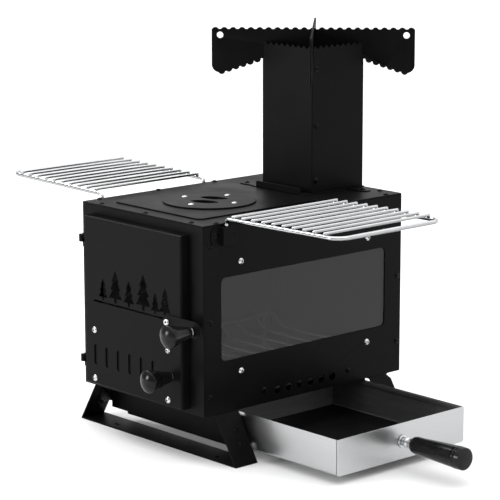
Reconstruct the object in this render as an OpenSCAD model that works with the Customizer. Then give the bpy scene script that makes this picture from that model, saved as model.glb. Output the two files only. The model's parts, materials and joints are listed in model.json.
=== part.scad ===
// Portable wood stove: a sheet-steel firebox on two splayed leg frames, with a dished door, a cooking lid,
// two windows, an ash drawer, two side racks and a square flue tower that carries a crossed pot stand.
// Lengths are in millimetres. +X is the drawer side, -Y is the door side, +Z is up and the floor is Z = 0.
// Pieces are laid out from the middle of the firebox, and the whole stove is then moved so that the
// origin lies under the middle of its bounding box.

/* [Firebox body] */
// Outside width across the two windows
body_w = 220; // [214:1:226]
// Outside depth from the front panel to the rear panel
body_d = 322; // [316:1:330]
// Outside height from the underside to the top frame
body_h = 224; // [218:1:234]
// Clear height under the firebox
leg_h = 56.5; // [54.5:0.5:60]
// Sheet thickness of the panels
sheet_t = 1.2; // [1:0.1:1.4]
// Thickness of the top frame
frame_t = 1.5; // [1.2:0.1:1.8]
// Width of the folded flanges that carry the screws
flange_w = 15; // [14:0.5:17]
// Rounding of the corners of openings
opening_r = 6.5; // [4:0.5:8]

/* [Windows and air holes] */
// Distance from the front or rear panel to a window opening
window_inset = 27.8; // [27:0.1:32]
// Height of a window opening
window_h = 98; // [90:1:102]
// Height of the window sill above the underside of the firebox
window_rise = 62; // [58:1:66]
// Thickness of the window glass
glass_t = 4; // [3:0.5:4]
// Width of glass behind the edge of the opening
glass_lap = 8; // [7:0.5:9]
// Distance between the two screws in one row of a window
window_screw_gap = 206; // [190:1:220]
// Distance from the opening to the row of window screws
window_screw_rise = 16; // [15.5:0.5:17]
// Width of a glass retainer's seat on the panel
retainer_w = 17; // [16:0.5:19]
// Bore of one air hole
air_hole_d = 10; // [8:0.5:11]
// Distance between air holes
air_hole_pitch = 17.9; // [16:0.1:19]
// Height of the air holes above the underside of the firebox
air_hole_rise = 12.7; // [11:0.1:15]

/* [Door] */
// Width of the door
door_w = 178.8; // [172:0.5:182]
// Height of the door
door_h = 205; // [198:1:208]
// How far the door stands off the front panel
door_t = 11.7; // [11:0.1:13]
// Height of the door's lower edge above the underside of the firebox
door_rise = 6; // [5:0.5:8]
// How far the middle of the door lies to the hinge side
door_shift = 4.1; // [3:0.1:5]
// Gap between the rim of the door and the front panel
door_gap = 0.3; // [0.2:0.1:0.4]
// Width of front panel behind the edge of the door
door_lap = 14; // [12:1:16]
// Diameter of a hinge barrel
hinge_d = 7.6; // [7:0.1:8]
// Length of one hinge barrel
hinge_l = 4.4; // [4:0.1:5]
// Distance from the rim of the door to the hinge axis
hinge_reach = 12; // [11.5:0.5:13]
// Distance from the front panel to the hinge axis
hinge_stand = 5.2; // [5.2:0.1:5.6]
// Distance between the upper and lower hinges
hinge_span = 148; // [130:1:160]
// Diameter of a hinge pin
hinge_pin_d = 3; // [2.6:0.1:3.2]

/* [Air vent in the door] */
// Height of a vent slot
vent_h = 24.5; // [20:0.5:27]
// Width of a vent slot
vent_w = 5.6; // [5:0.1:6.5]
// Distance between vent slots
vent_pitch = 21.5; // [20:0.1:22]
// Height of the vent slots above the lower edge of the door
vent_rise = 37.2; // [35:0.1:40]
// Thickness of the sliding vent plate
slider_t = 1.2; // [1:0.1:1.4]
// Height of the sliding vent plate
slider_h = 36; // [33:1:40]
// Distance between the left and right screws of the vent guide
guide_screw_w = 136; // [130:1:140]
// Distance between the lower and upper screws of the vent guide
guide_screw_h = 59.5; // [56:0.5:64]
// Width of a vent guide's seat on the door
guide_seat_w = 14; // [12:0.5:15]

/* [Latch and grips] */
// Distance from the latch pivot to the latch grip
latch_reach = 44.4; // [42:0.1:46]
// Height of the latch pivot above the lower edge of the door
latch_rise = 101.2; // [95:0.1:106]
// Width of the lever at its pivot
lever_w = 17; // [15:0.5:18]
// Width of the lever at its grip
lever_end_w = 20; // [18:0.5:22]
// Thickness of the lever
lever_t = 1.5; // [1.2:0.1:2]
// Largest diameter of a door grip
grip_d = 27.4; // [25:0.1:29]
// Diameter of a door grip at its root
grip_root_d = 13; // [12:0.5:15]
// Length of a door grip
grip_l = 38.5; // [34:0.5:42]
// Diameter of the keeper stud
stud_d = 5; // [4.5:0.1:5.5]

/* [Cooking top] */
// Width of the cook plate
cook_w = 158; // [150:1:162]
// Gap between the cook plate and the tower base
cook_gap = 6.5; // [5:0.5:12]
// Thickness of the cook plate
cook_t = 1.5; // [1:0.1:1.8]
// Distance from the front of the firebox to the cook plate
cook_inset = 22; // [21:0.5:24]
// Diameter of the cooking lid
lid_d = 112; // [110:1:122]
// Thickness of the cooking lid
lid_t = 1.8; // [1:0.1:2.4]
// Bore of the cooking hole
cook_bore = 104; // [98:1:106]
// How far the lid lies in front of the middle of the cook plate
lid_shift = 10.5; // [5:0.5:14]
// Length of a lifting slot in the lid
lid_slot_l = 37; // [34:1:40]
// Width of a lifting slot in the lid
lid_slot_w = 18; // [14:1:20]
// Distance between the two lifting slots
lid_slot_gap = 27; // [26:1:31]
// Distance between neighbouring rivets of the lid
lid_rivet_gap = 52.2; // [49:0.1:54]
// Diameter of a rivet head
rivet_d = 7.6; // [6:0.1:8]

/* [Screws] */
// Head diameter of a black button screw
screw_head_d = 7.6; // [7:0.1:8]
// Head height of a black button screw
screw_head_h = 2; // [1.6:0.1:2.4]
// Shank diameter of every screw
screw_d = 4; // [3.5:0.1:4]
// Head diameter of a bright screw
bright_head_d = 8.4; // [7:0.1:9]
// Head height of a bright screw
bright_head_h = 2.4; // [2:0.1:3]

/* [Flue tower and pot stand] */
// Outside width of the tower
tower_w = 88; // [84:1:92]
// Height of the tower above the top frame
tower_h = 180.5; // [170:0.5:190]
// Sheet thickness of the tower
tower_t = 1.2; // [1:0.1:1.6]
// Distance from the rear of the firebox to the tower
tower_inset = 1.5; // [1:0.5:3]
// Height of the sawtooth edge of the tower
tooth_h = 4; // [3:0.5:5]
// Number of teeth along one side of the tower
tooth_n = 9; // [7:1:11]
// Thickness of the tower base
base_t = 1.2; // [1:0.1:1.6]
// Distance from the tower to the front lip of its base
base_reach = 15; // [13:0.5:17]
// Height of the front lip of the base
base_lip_h = 8.7; // [7:0.1:10]
// Length of one pot stand plate
stand_l = 250; // [240:1:256]
// Height of a pot stand plate at its ends
stand_h = 56; // [52:1:60]
// Thickness of a pot stand plate
stand_t = 2.4; // [2:0.1:3]
// How far the pot stand rises above the tower
stand_rise = 17; // [15:0.5:19]
// Depth of the corner slots that hold the pot stand
stand_slot = 21.5; // [20:0.5:24]
// Distance between the waves on a pot stand edge
wave_pitch = 10.94; // [10:0.01:12]
// Height of the waves on a pot stand edge
wave_h = 2.3; // [1.6:0.1:2.6]
// Bore of the holes near the ends of the pot stand
stand_bore = 8; // [6:0.5:10]

/* [Legs] */
// Width over both feet of one leg frame
foot_w = 288.7; // [280:1:300]
// Width of the leg strip
strip_w = 34.3; // [32:0.5:36]
// Thickness of the leg strip
strip_t = 2; // [1.6:0.1:2.5]
// Distance from the front of the firebox to the leg strip
strip_inset = 18.4; // [16:0.5:20]
// Height of an apron's lower edge above the floor
apron_rise = 12; // [11.5:0.5:13]
// Thickness of an apron
apron_t = 1.5; // [1.2:0.1:1.8]
// Distance between the two holes in a foot strip
foot_hole_gap = 186; // [170:1:200]
// Length of one hole in a foot strip
foot_hole_l = 6; // [4:0.5:8]

/* [Ash drawer] */
// Gap between the drawer and an apron
drawer_play = 3; // [2.8:0.1:5.8]
// Length of the drawer
drawer_l = 221; // [212:1:221]
// Height of the drawer
drawer_h = 42.8; // [40:0.1:43]
// Height of the drawer above the floor
drawer_rise = 10.8; // [10.7:0.1:11]
// Sheet thickness of the drawer
drawer_t = 1; // [0.8:0.1:1.2]
// How far the drawer is pulled out
drawer_out = 160; // [130:1:165]
// Length of the drawer grip
drawer_grip_l = 83; // [74:1:90]
// Diameter of the drawer grip at its end
drawer_grip_d = 26; // [24:0.5:28]
// Diameter of the drawer grip at its root
drawer_grip_root_d = 19; // [17:0.5:21]
// Length of the bright post that carries the drawer grip
drawer_post_l = 17.3; // [15:0.5:20]

/* [Side racks] */
// Width of a rack between its two side wires
rack_w = 162.5; // [156:0.5:168]
// Reach of a rack from its bend to its outer wire
rack_l = 182; // [176:1:188]
// Diameter of the frame wire
rack_wire_d = 5; // [4.5:0.1:5.4]
// Diameter of a cross rod
rod_d = 4; // [3.4:0.1:4.4]
// Number of cross rods
rod_n = 10; // [8:1:11]
// Distance between cross rods
rod_pitch = 16.6; // [15:0.1:16.8]
// Distance from the bend to the first cross rod
rod_start = 12.4; // [10:0.1:14]
// Height of the rack above the underside of the firebox
rack_rise = 228.5; // [228:0.5:240]
// Upward tilt of a rack in degrees
rack_tilt = 1; // [0:0.1:3]
// Distance from the front of the firebox to the first side wire
rack_inset = 32.5; // [32.5:0.5:36]
// Height of a rack bracket
bracket_h = 22; // [20:0.5:24]
// Length of a rack bracket
bracket_l = 42; // [40:0.5:44]
// Distance between the two screws of a rack bracket
bracket_screw_gap = 27; // [26:0.5:30]

/* [Fire grate] */
// Length of a grate bar
grate_bar_l = 124; // [110:1:130]
// Distance between grate bars
grate_pitch = 30; // [26:1:32]
// Number of grate bars
grate_n = 9; // [7:1:9]
// Diameter of the grate wire
grate_wire_d = 4; // [3.5:0.1:5]
// Height of the grate bars above the underside of the firebox
grate_rise = 33.5; // [28:0.5:38]
// How far the ends of the bars turn up
grate_lift = 14; // [10:1:18]

/* [Hidden] */
$fn = 48;
black_paint = [0.07, 0.07, 0.075];
steel_grey = [0.75, 0.76, 0.78];
bright_zinc = [0.85, 0.86, 0.88];
glass_grey = [0.35, 0.36, 0.38];
bakelite_black = [0.03, 0.03, 0.03];

// Overrun of every cut, and the clearances that pieces share
cut_over = 1;
hole_play = 0.05;
seat_gap = 0.1;
pin_play = 0.04;
lift_play = 0.5;
hex_sides = 6;
socket_d_share = 0.36;
socket_depth_share = 0.6;
diagonal_turn = 45;
quarter_turn = 90;

// Firebox
body_x = body_w / 2;
body_y = body_d / 2;
window_l = body_d - 2 * window_inset;
cook_d = body_d - cook_inset - cook_gap - base_reach - tower_w - tower_inset;
drawer_w = body_d - 2 * (strip_inset + strip_w + apron_t + drawer_play);
floor_z = leg_h;
top_z = leg_h + body_h;
frame_z = top_z - frame_t;
panel_x = body_x - sheet_t;
panel_y = body_y - sheet_t;
inner_x = panel_x - sheet_t;
flange_y = panel_y - flange_w;
side_flange_w = flange_w - 3 * sheet_t;
ash_opening_w = cook_w - 2 * opening_r;
ash_opening_d = 2 * flange_y - 4 * flange_w;
frame_opening_w = cook_w - flange_w;
frame_opening_d = cook_d - flange_w;
flue_opening = tower_w - flange_w;

// Rows of black screws
column_inset = 10;
rear_column_inset = 6.4;
front_column_z_shares = [0.098, 0.493, 0.895];
rear_column_z_shares = [0.174, 0.541, 0.908];
tab_rise = 16.5;
tab_y_shares = [-0.419, 0.44];
tab_w = 24;
tab_h = 24;
row_inset_y = 7;
rear_row_inset_y = 9;
row_x_share = 0.745;
side_row_inset = 4;
side_row_outer_share = 0.857;
side_row_inner_share = 0.286;
panel_screw_l = 7;
top_screw_l = 6;

// Window
sill_z = floor_z + window_rise;
lintel_z = sill_z + window_h;
retainer_joggle = glass_t + seat_gap;
retainer_l = window_l + 2 * opening_r;
glass_corner_r = 4;
window_screw_zs = [sill_z - window_screw_rise, lintel_z + window_screw_rise];

// Door
door_mid_x = -door_shift;
door_left = door_mid_x - door_w / 2;
door_right = door_mid_x + door_w / 2;
door_low = floor_z + door_rise;
door_high = door_low + door_h;
door_face_y = -body_y - door_gap - door_t;
door_inner_y = door_face_y + sheet_t;
door_bevel = 1.6;
hinge_x = door_left - hinge_reach;
hinge_y = -body_y - hinge_stand;
hinge_bore = hinge_pin_d + 2 * pin_play;
hinge_mid_z = door_low + door_h / 2 - 1.5 * sheet_t;
hinge_zs = [hinge_mid_z - hinge_span / 2, hinge_mid_z + hinge_span / 2];
hinge_strap_t = 1.6;
hinge_foot_l = 12;
hinge_foot_t = 1;
hinge_head_h = 1.2;

// Vent
vent_n = 6;
vent_z = door_low + vent_rise;
vent_run = (vent_n - 1) * vent_pitch;
vent_in = 20;
vent_first_x = door_left + vent_in;
vent_travel = vent_pitch / 2;
slider_gap = 0.3;
slider_y = door_inner_y + slider_gap;
slider_left = vent_first_x - vent_w / 2 - vent_pitch / 6;
slider_right = vent_first_x + vent_run + 2 * vent_pitch;
knob_gap = 33.1;
knob_x = vent_first_x + vent_run + knob_gap;
stem_d = 5;
stem_play = 0.6;
guide_shift = 3.2;
guide_mid_x = door_mid_x - guide_shift;
guide_screw_low = 7.8;
guide_z = door_low + guide_screw_low + guide_screw_h / 2;
guide_lap = 6;
guide_x = guide_screw_w / 2 + guide_lap;
guide_t = 1.2;
guide_gap = 0.4;
guide_pan_y = slider_y + slider_t + guide_gap;
guide_pan_right = vent_first_x + vent_run + vent_w / 2 + guide_lap;
guide_pan_h = slider_h + 2 * stem_play;
nut_d = 8;
nut_h = 2.6;
door_screw_l = 5;

// Latch
latch_in = 23.3;
latch_x = door_right - latch_in;
latch_z = door_low + latch_rise;
lever_y = door_face_y - seat_gap - lever_t;
lever_drop = 3.7;
lever_end_shift = 3.4;
notch_reach = 32;
stud_z = latch_z - lever_drop;
stud_tip_h = 1;
stud_foot_d = 9;
stud_foot_h = 2.4;
notch_play = 2;
link_edge_share = 0.985;
ferrule_h = 4;
ferrule_d = 11;
vent_ferrule_h = 2.6;
grip_round_r = 2.6;
grip_dome_h = 1.4;
grip_neck_share = 0.82;
grip_waist_share = 0.72;
pivot_d = 5;
pivot_head_d = 8.4;
pivot_head_h = 2.6;

// Plain pine trees cut through the door, standing on a thin ground line
tree_x_shares = [-0.3, -0.17, -0.03, 0.12, 0.24, 0.34];
tree_h_shares = [0.13, 0.19, 0.15, 0.21, 0.12, 0.16];
tree_z_share = 0.52;
tree_w_share = 0.62;
tier_n = 3;
tier_low_shares = [0.14, 0.4, 0.66];
tier_tip_shares = [0.6, 0.82, 1];
tier_w_shares = [1, 0.78, 0.55];
trunk_share = 0.16;
ground_h = 2.2;
ground_l_share = 0.8;
ground_drop = 3;

// Cooking top
cook_front = -body_y + cook_inset;
cook_top = top_z + cook_t;
lid_y = cook_front + cook_d / 2 - lid_shift;
lid_disc_t = cook_t - seat_gap;
lid_disc_d = cook_bore - 2 * lift_play;
lid_turn = 24.3;
rivet_turn = -32;
rivet_h = 1.5;
rivet_shank_d = 4;
cook_corner_r = 9;

// Tower
tower_x = tower_w / 2;
tower_mid_y = body_y - tower_inset - tower_x;
tower_low = top_z + base_t;
tower_high = top_z + tower_h;
tower_flange_w = 12;
tower_screw_inset = 7.5;
tower_screw_z_shares = [0.09, 0.465, 0.845];
base_lip_y = tower_mid_y - tower_x - base_reach;
base_lip_in = 4;
base_lip_x = tower_x - base_lip_in;
lip_r = base_lip_h / 3;
base_flange = 3;
ear_w = 18;
ear_front = 46.5;
ear_rear = 22.5;
ear_left = [-70, tower_mid_y - ear_front];
ear_right = [67, tower_mid_y + ear_rear];
stand_top = tower_high + stand_rise;
stand_low = stand_top - stand_h;
stand_slot_z = tower_high - stand_slot;
stand_neck_u = tower_x * sqrt(2);
stand_neck_z = stand_slot_z + hole_play;
stand_play = 0.3;
stand_corner_r = 10;
bump_r = wave_pitch * 0.4;

// Legs
foot_x = foot_w / 2;
splay = atan2(foot_x - body_x, leg_h);
strip_side_t = strip_t / cos(splay);
strip_front = -body_y + strip_inset;
strip_back = strip_front + strip_w;
strip_tab_l = 20;
strip_chamfer = 6;
foot_hole_x = 6.3;
foot_hole_w = 3.6;
apron_fold_w = 23;
apron_front = strip_back;
apron_back = apron_front + apron_t;
rail_w = 12;
rail_l = body_w - 2 * flange_w;
rail_z = drawer_rise - seat_gap - apron_t;
apron_cap_w = 14;
apron_cap_in = 25;
apron_cap_l = body_w - 2 * apron_cap_in;
leg_screw_back = 14.4;
leg_screw_z_shares = [0.396, 0.656];
leg_screw_l = 6;
relief_share = 0.16;

// Drawer
drawer_shut = 0.7;
drawer_x = body_x + drawer_shut + drawer_out;
drawer_back = drawer_x - drawer_l;
drawer_z = drawer_rise;
drawer_top = drawer_rise + drawer_h;
drawer_corner_r = 4;
drawer_mid_z = drawer_rise + drawer_h / 2;
post_d = 9;
post_flange_d = 15;
post_flange_h = 2;
post_ring_d = 13;
post_ring_h = 3;
grip_chamfer = 2.4;
grip_tip_r = 4;
grip_stub = 12;

// Racks
wire_play = 0.45;
wire_r = rack_wire_d / 2;
rack_x = body_x + wire_r + wire_play;
rack_z = floor_z + rack_rise;
rack_first_y = -body_y + rack_inset;
rack_bend_r = 6;
rack_corner_r = 14;
rack_end_x = rack_x + rack_l * cos(rack_tilt) + wire_r;
bracket_rise = 210;
bracket_z = floor_z + bracket_rise;
bracket_r = 9.5;
bracket_t = 1.2;
bracket_well = 13;
bracket_screw_l = 6;
bracket_low = bracket_z - bracket_h / 2;
rack_drop = rack_z - bracket_low - bracket_t - seat_gap;
bracket_stand = rack_wire_d + 2 * wire_play + rack_drop * sin(rack_tilt);

// Grate
grate_z = floor_z + grate_rise;
grate_r = grate_wire_d / 2;
grate_knot_r = grate_r + 2 * hole_play;
grate_half = grate_bar_l / 2;
grate_flare = 17;
grate_side_x = grate_half + grate_flare;
grate_end_y = (grate_n - 1) * grate_pitch / 2;
grate_top_z = grate_z + grate_lift;
grate_leg_y = grate_end_y - grate_pitch / 2;

// The origin lies under the middle of the bounding box
reach_right = drawer_x + drawer_post_l + drawer_grip_l;
reach_left = rack_end_x;
reach_front = -(lever_y - ferrule_h - grip_l);
reach_rear = tower_mid_y + (stand_l + stand_t) / (2 * sqrt(2));
mid_x = (reach_right - reach_left) / 2;
mid_y = (reach_rear - reach_front) / 2;

// Shared shapes

// Moves a piece from the middle of the firebox to the shared origin
module placed() {
    translate([-mid_x, -mid_y, 0])
        children();
}

// A box between two opposite corners
module block(low, high) {
    translate(low)
        cube(high - low);
}

// A flat rectangle with rounded corners about the origin
module rounded_2d(w, d, r) {
    square([w, d - 2 * r], center = true);
    square([w - 2 * r, d], center = true);
    for (sx = [-1, 1], sy = [-1, 1])
        translate([sx * (w / 2 - r), sy * (d / 2 - r)])
            circle(r);
}

// A flat slot with round ends along X
module slot_2d(l, w) {
    square([l - w, w], center = true);
    for (s = [-1, 1])
        translate([s * (l - w) / 2, 0])
            circle(d = w);
}

// An upright link between two round ends on X
module link(r_a, r_b, d, y, t) {
    upright(y, t)
        circle(r_a);
    upright(y, t)
        translate([d, 0])
            circle(r_b);
    upright(y, t)
        polygon([[0, r_a], [d, r_b], [d, -r_b], [0, -r_a]] * link_edge_share);
}

// A plate in the XZ plane, its front face at y and its thickness towards +Y
module upright(y, t) {
    translate([0, y + t, 0])
        rotate([quarter_turn, 0, 0])
            linear_extrude(t)
                children();
}

// A round dome on zero
module dome(d, h) {
    r = (h * h + d * d / 4) / (2 * h);
    intersection() {
        cylinder(d = d, h = h);
        translate([0, 0, h - r])
            sphere(r);
    }
}

// A domed screw along +Z with its head above zero and a hexagon socket
module screw(head_d, head_h, l) {
    difference() {
        dome(head_d, head_h);
        translate([0, 0, head_h * (1 - socket_depth_share)])
            cylinder(d = head_d * socket_d_share, h = head_h, $fn = hex_sides);
    }
    translate([0, 0, -l])
        cylinder(d = screw_d, h = l + seat_gap);
}

// A hole for a screw shank, as long as the screw and open at both ends
module screw_hole(l) {
    translate([0, 0, -l - cut_over])
        cylinder(d = screw_d + 2 * hole_play, h = l + 3 * cut_over);
}

// Turns a piece that points along +Z so that it points out of the right or left side
module outwards(side) {
    rotate([0, side * quarter_turn, 0])
        children();
}

// A wire between two points
module wire(a, b, r) {
    run = b - a;
    translate(a)
        rotate([0, acos(run[2] / norm(run)), atan2(run[1], run[0])])
            cylinder(r = r, h = norm(run));
}

// Places of the black screws, as functions of the firebox

function column_zs(shares) = [for (s = shares) floor_z + s * body_h];
function tab_ys() = [for (s = tab_y_shares) s * body_y];
front_column_y = -body_y + column_inset;
rear_column_y = body_y - rear_column_inset;
row_x = row_x_share * body_x;
side_row_x = body_x - side_row_inset;
side_row_ys = [for (s = [-1, 1], k = [side_row_inner_share, side_row_outer_share]) s * k * body_y];
front_row_y = -body_y + row_inset_y;
rear_row_y = body_y - rear_row_inset_y;

// Puts a child at every black screw of one side panel
module at_panel_screws(side) {
    front = [for (z = column_zs(front_column_z_shares)) [front_column_y, z]];
    rear = [for (z = column_zs(rear_column_z_shares)) [rear_column_y, z]];
    tabs = [for (y = tab_ys()) [y, floor_z + tab_rise]];
    for (p = concat(front, rear, tabs))
        translate([side * body_x, p[0], p[1]])
            outwards(side)
                children();
}

// Puts a child at every black screw of the top frame
module at_top_screws() {
    front = [for (x = [-row_x, 0, row_x]) [x, front_row_y]];
    rear = [for (x = [-row_x, row_x]) [x, rear_row_y]];
    sides = [for (s = [-1, 1], y = side_row_ys) [s * side_row_x, y]];
    for (p = concat(front, rear, sides))
        translate([p[0], p[1], top_z])
            children();
}

// Puts a child at every bright screw of one window
module at_window_screws(side) {
    for (z = window_screw_zs, s = [-1, 1])
        translate([side * body_x, s * window_screw_gap / 2, z])
            outwards(side)
                children();
}

// Puts a child at every screw that holds the rack brackets of one side
module at_bracket_screws(side) {
    for (m = [0, 1], s = [-1, 1])
        translate([
            side * body_x,
            rack_first_y + m * rack_w + s * bracket_screw_gap / 2,
            bracket_z
        ])
            outwards(side)
                children();
}

// Firebox

// The outline shared by the front and rear panels: a face with flanges folded towards the inside
module end_panel_box() {
    block([-body_x, -body_y, floor_z], [body_x, -panel_y, frame_z]);
    block([-panel_x, -panel_y, floor_z + sheet_t], [-inner_x, -flange_y, frame_z]);
    block([inner_x, -panel_y, floor_z + sheet_t], [panel_x, -flange_y, frame_z]);
    block([-inner_x, -panel_y, frame_z - sheet_t], [inner_x, -flange_y, frame_z]);
    block([-inner_x, -panel_y, floor_z + sheet_t], [inner_x, -flange_y, floor_z + 2 * sheet_t]);
}

module front_panel() {
    color(black_paint) placed()
        difference() {
            end_panel_box();
            translate([door_mid_x, 0, door_low + door_h / 2])
                upright(-body_y - cut_over, sheet_t + 2 * cut_over)
                    square([door_w - 2 * door_lap, door_h - 2 * door_lap], center = true);
            for (side = [-1, 1])
                at_panel_screws(side)
                    screw_hole(panel_screw_l);
            at_top_screws()
                screw_hole(top_screw_l);
            translate([latch_x + notch_reach, -body_y, stud_z])
                rotate([quarter_turn, 0, 0])
                    screw_hole(panel_screw_l);
        }
}

module rear_panel() {
    color(black_paint) placed()
        difference() {
            mirror([0, 1, 0])
                end_panel_box();
            for (side = [-1, 1])
                at_panel_screws(side)
                    screw_hole(panel_screw_l);
            at_top_screws()
                screw_hole(top_screw_l);
            at_rear_screws()
                screw_hole(panel_screw_l);
            rear_tabs(seat_gap);
            flue_cut(frame_z - sheet_t, sheet_t);
        }
}

// The two rear tabs of the base panel, or with play their slots in the rear panel's lower flange
module rear_tabs(play) {
    for (s = [-1, 1])
        translate([s * row_x, panel_y - sheet_t / 2, floor_z + tab_h / 2])
            cube([tab_w + play, sheet_t, tab_h + play], center = true);
}

// Cuts the flue opening through a sheet
module flue_cut(z, t) {
    translate([0, tower_mid_y, z - cut_over])
        linear_extrude(t + 2 * cut_over)
            rounded_2d(flue_opening, flue_opening, opening_r);
}

// Puts a child at the two screws that hold the base panel to the rear panel
module at_rear_screws() {
    for (s = [-1, 1])
        translate([s * row_x, body_y, floor_z + tab_rise])
            rotate([-quarter_turn, 0, 0])
                children();
}

module side_panel(side) {
    color(black_paint) placed()
        difference() {
            mirror([side < 0 ? 1 : 0, 0, 0]) {
                block([panel_x, -panel_y, floor_z], [body_x, panel_y, frame_z]);
                block([panel_x - side_flange_w, -flange_y, frame_z - sheet_t], [panel_x, flange_y, frame_z]);
            }
            translate([side * body_x, 0, sill_z + window_h / 2])
                rotate([quarter_turn, 0, quarter_turn])
                    translate([0, 0, -2 * sheet_t - cut_over])
                        linear_extrude(4 * sheet_t + 2 * cut_over)
                            rounded_2d(window_l, window_h, opening_r);
            for (i = [0 : 5])
                translate([side * body_x, (i - 2.5) * air_hole_pitch, floor_z + air_hole_rise])
                    outwards(side)
                        cylinder(d = air_hole_d, h = 4 * sheet_t + 2 * cut_over, center = true);
            at_panel_screws(side)
                screw_hole(panel_screw_l);
            at_window_screws(side)
                screw_hole(panel_screw_l);
            at_bracket_screws(side)
                screw_hole(bracket_screw_l);
            at_top_screws()
                screw_hole(top_screw_l);
        }
}

module base_panel() {
    color(black_paint) placed()
        difference() {
            union() {
                block([-panel_x, -panel_y, floor_z], [panel_x, panel_y, floor_z + sheet_t]);
                for (side = [-1, 1], y = tab_ys())
                    translate([side * (panel_x - sheet_t / 2), y, floor_z + tab_h / 2])
                        cube([sheet_t, tab_w, tab_h], center = true);
                rear_tabs(0);
            }
            translate([0, 0, floor_z - cut_over])
                linear_extrude(sheet_t + 2 * cut_over)
                    rounded_2d(ash_opening_w, ash_opening_d, opening_r);
            for (side = [-1, 1])
                at_panel_screws(side)
                    screw_hole(panel_screw_l);
            at_rear_screws()
                screw_hole(panel_screw_l);
            at_apron_screws()
                screw_hole(leg_screw_l);
        }
}

module top_frame() {
    color(black_paint) placed()
        difference() {
            block([-body_x, -body_y, frame_z], [body_x, body_y, top_z]);
            translate([0, cook_front + cook_d / 2, frame_z - cut_over])
                linear_extrude(frame_t + 2 * cut_over)
                    rounded_2d(frame_opening_w, frame_opening_d, opening_r);
            flue_cut(frame_z, frame_t);
            at_top_screws()
                screw_hole(top_screw_l);
            at_ear_screws()
                screw_hole(top_screw_l);
        }
}

module cook_plate() {
    color(black_paint) placed()
        difference() {
            translate([0, cook_front + cook_d / 2, top_z])
                linear_extrude(cook_t)
                    rounded_2d(cook_w, cook_d, cook_corner_r);
            translate([0, lid_y, top_z - cut_over])
                cylinder(d = cook_bore, h = cook_t + 2 * cut_over);
        }
}

// The two lens-shaped lifting slots of the lid, as flat outlines
module lid_slots_2d() {
    lens_r = (lid_slot_l * lid_slot_l / 4 + lid_slot_w * lid_slot_w / 4) / lid_slot_w;
    rotate(lid_turn)
        for (s = [-1, 1])
            translate([0, s * lid_slot_gap / 2])
                intersection_for (k = [-1, 1])
                    translate([0, k * (lens_r - lid_slot_w / 2)])
                        circle(lens_r);
}

// Puts a child at each rivet of the lid
module at_lid_rivets() {
    for (i = [0 : 3])
        rotate(rivet_turn + diagonal_turn + i * quarter_turn)
            translate([lid_rivet_gap / sqrt(2), 0, 0])
                children();
}

// One round layer of the lid with its slots and rivet holes
module lid_layer(d, t, z) {
    color(black_paint) placed()
        translate([0, lid_y, z])
            difference() {
                cylinder(d = d, h = t);
                translate([0, 0, -cut_over])
                    linear_extrude(t + 2 * cut_over)
                        lid_slots_2d();
                at_lid_rivets()
                    translate([0, 0, -cut_over])
                        cylinder(d = rivet_shank_d + 2 * hole_play, h = t + 2 * cut_over);
            }
}

module cooking_lid() {
    lid_layer(lid_d, lid_t, cook_top);
}

module lid_disc() {
    lid_layer(lid_disc_d, lid_disc_t, cook_top - lid_disc_t);
}

module lid_rivets() {
    color(bright_zinc) placed()
        translate([0, lid_y, cook_top + lid_t])
            at_lid_rivets() {
                dome(rivet_d, rivet_h);
                translate([0, 0, -lid_t - lid_disc_t])
                    cylinder(d = rivet_shank_d, h = lid_t + lid_disc_t + seat_gap);
            }
}

// The grate: bars that turn up at both ends to two side wires on four legs
module fire_grate() {
    color(steel_grey) placed() {
        for (i = [0 : grate_n - 1])
            translate([0, (i - (grate_n - 1) / 2) * grate_pitch, 0]) {
                wire([-grate_half, 0, grate_z], [grate_half, 0, grate_z], grate_r);
                for (s = [-1, 1]) {
                    translate([s * grate_half, 0, grate_z])
                        sphere(grate_knot_r);
                    wire([s * grate_half, 0, grate_z], [s * grate_side_x, 0, grate_top_z], grate_r);
                }
            }
        for (s = [-1, 1]) {
            wire(
                [s * grate_side_x, -grate_end_y, grate_top_z],
                [s * grate_side_x, grate_end_y, grate_top_z],
                grate_knot_r
            );
            for (k = [-1, 1]) {
                translate([s * grate_side_x, k * grate_end_y, grate_top_z])
                    sphere(grate_knot_r);
                wire(
                    [s * grate_side_x, k * grate_leg_y, floor_z + sheet_t],
                    [s * grate_side_x, k * grate_leg_y, grate_top_z],
                    grate_r
                );
            }
        }
    }
}

module glass(side) {
    color(glass_grey) placed()
        translate([side * (panel_x - glass_t / 2), 0, sill_z + window_h / 2])
            rotate([quarter_turn, 0, quarter_turn])
                translate([0, 0, -glass_t / 2])
                    linear_extrude(glass_t)
                        rounded_2d(window_l + 2 * glass_lap, window_h + 2 * glass_lap, glass_corner_r);
}

// A stepped strip that holds one long edge of the glass: seat on the panel, step, lap on the glass
module retainer(side, up) {
    edge_z = (up > 0 ? lintel_z : sill_z) + up * (glass_lap + seat_gap);
    lap_x = panel_x - retainer_joggle;
    color(black_paint) placed()
        difference() {
            mirror([side < 0 ? 1 : 0, 0, 0])
                translate([0, 0, edge_z])
                    mirror([0, 0, up < 0 ? 1 : 0]) {
                        block([inner_x, -retainer_l / 2, 0], [panel_x, retainer_l / 2, retainer_w]);
                        block([lap_x, -retainer_l / 2, 0], [inner_x, retainer_l / 2, sheet_t]);
                        block(
                            [lap_x - sheet_t, -retainer_l / 2, -glass_lap + sheet_t],
                            [lap_x, retainer_l / 2, sheet_t]
                        );
                    }
            at_window_screws(side)
                screw_hole(panel_screw_l);
        }
}

module window_screws() {
    color(bright_zinc) placed()
        for (side = [-1, 1])
            at_window_screws(side)
                screw(bright_head_d, bright_head_h, panel_screw_l - seat_gap);
}

module panel_screws(side) {
    color(black_paint) placed()
        at_panel_screws(side)
            screw(screw_head_d, screw_head_h, panel_screw_l);
}

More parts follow.
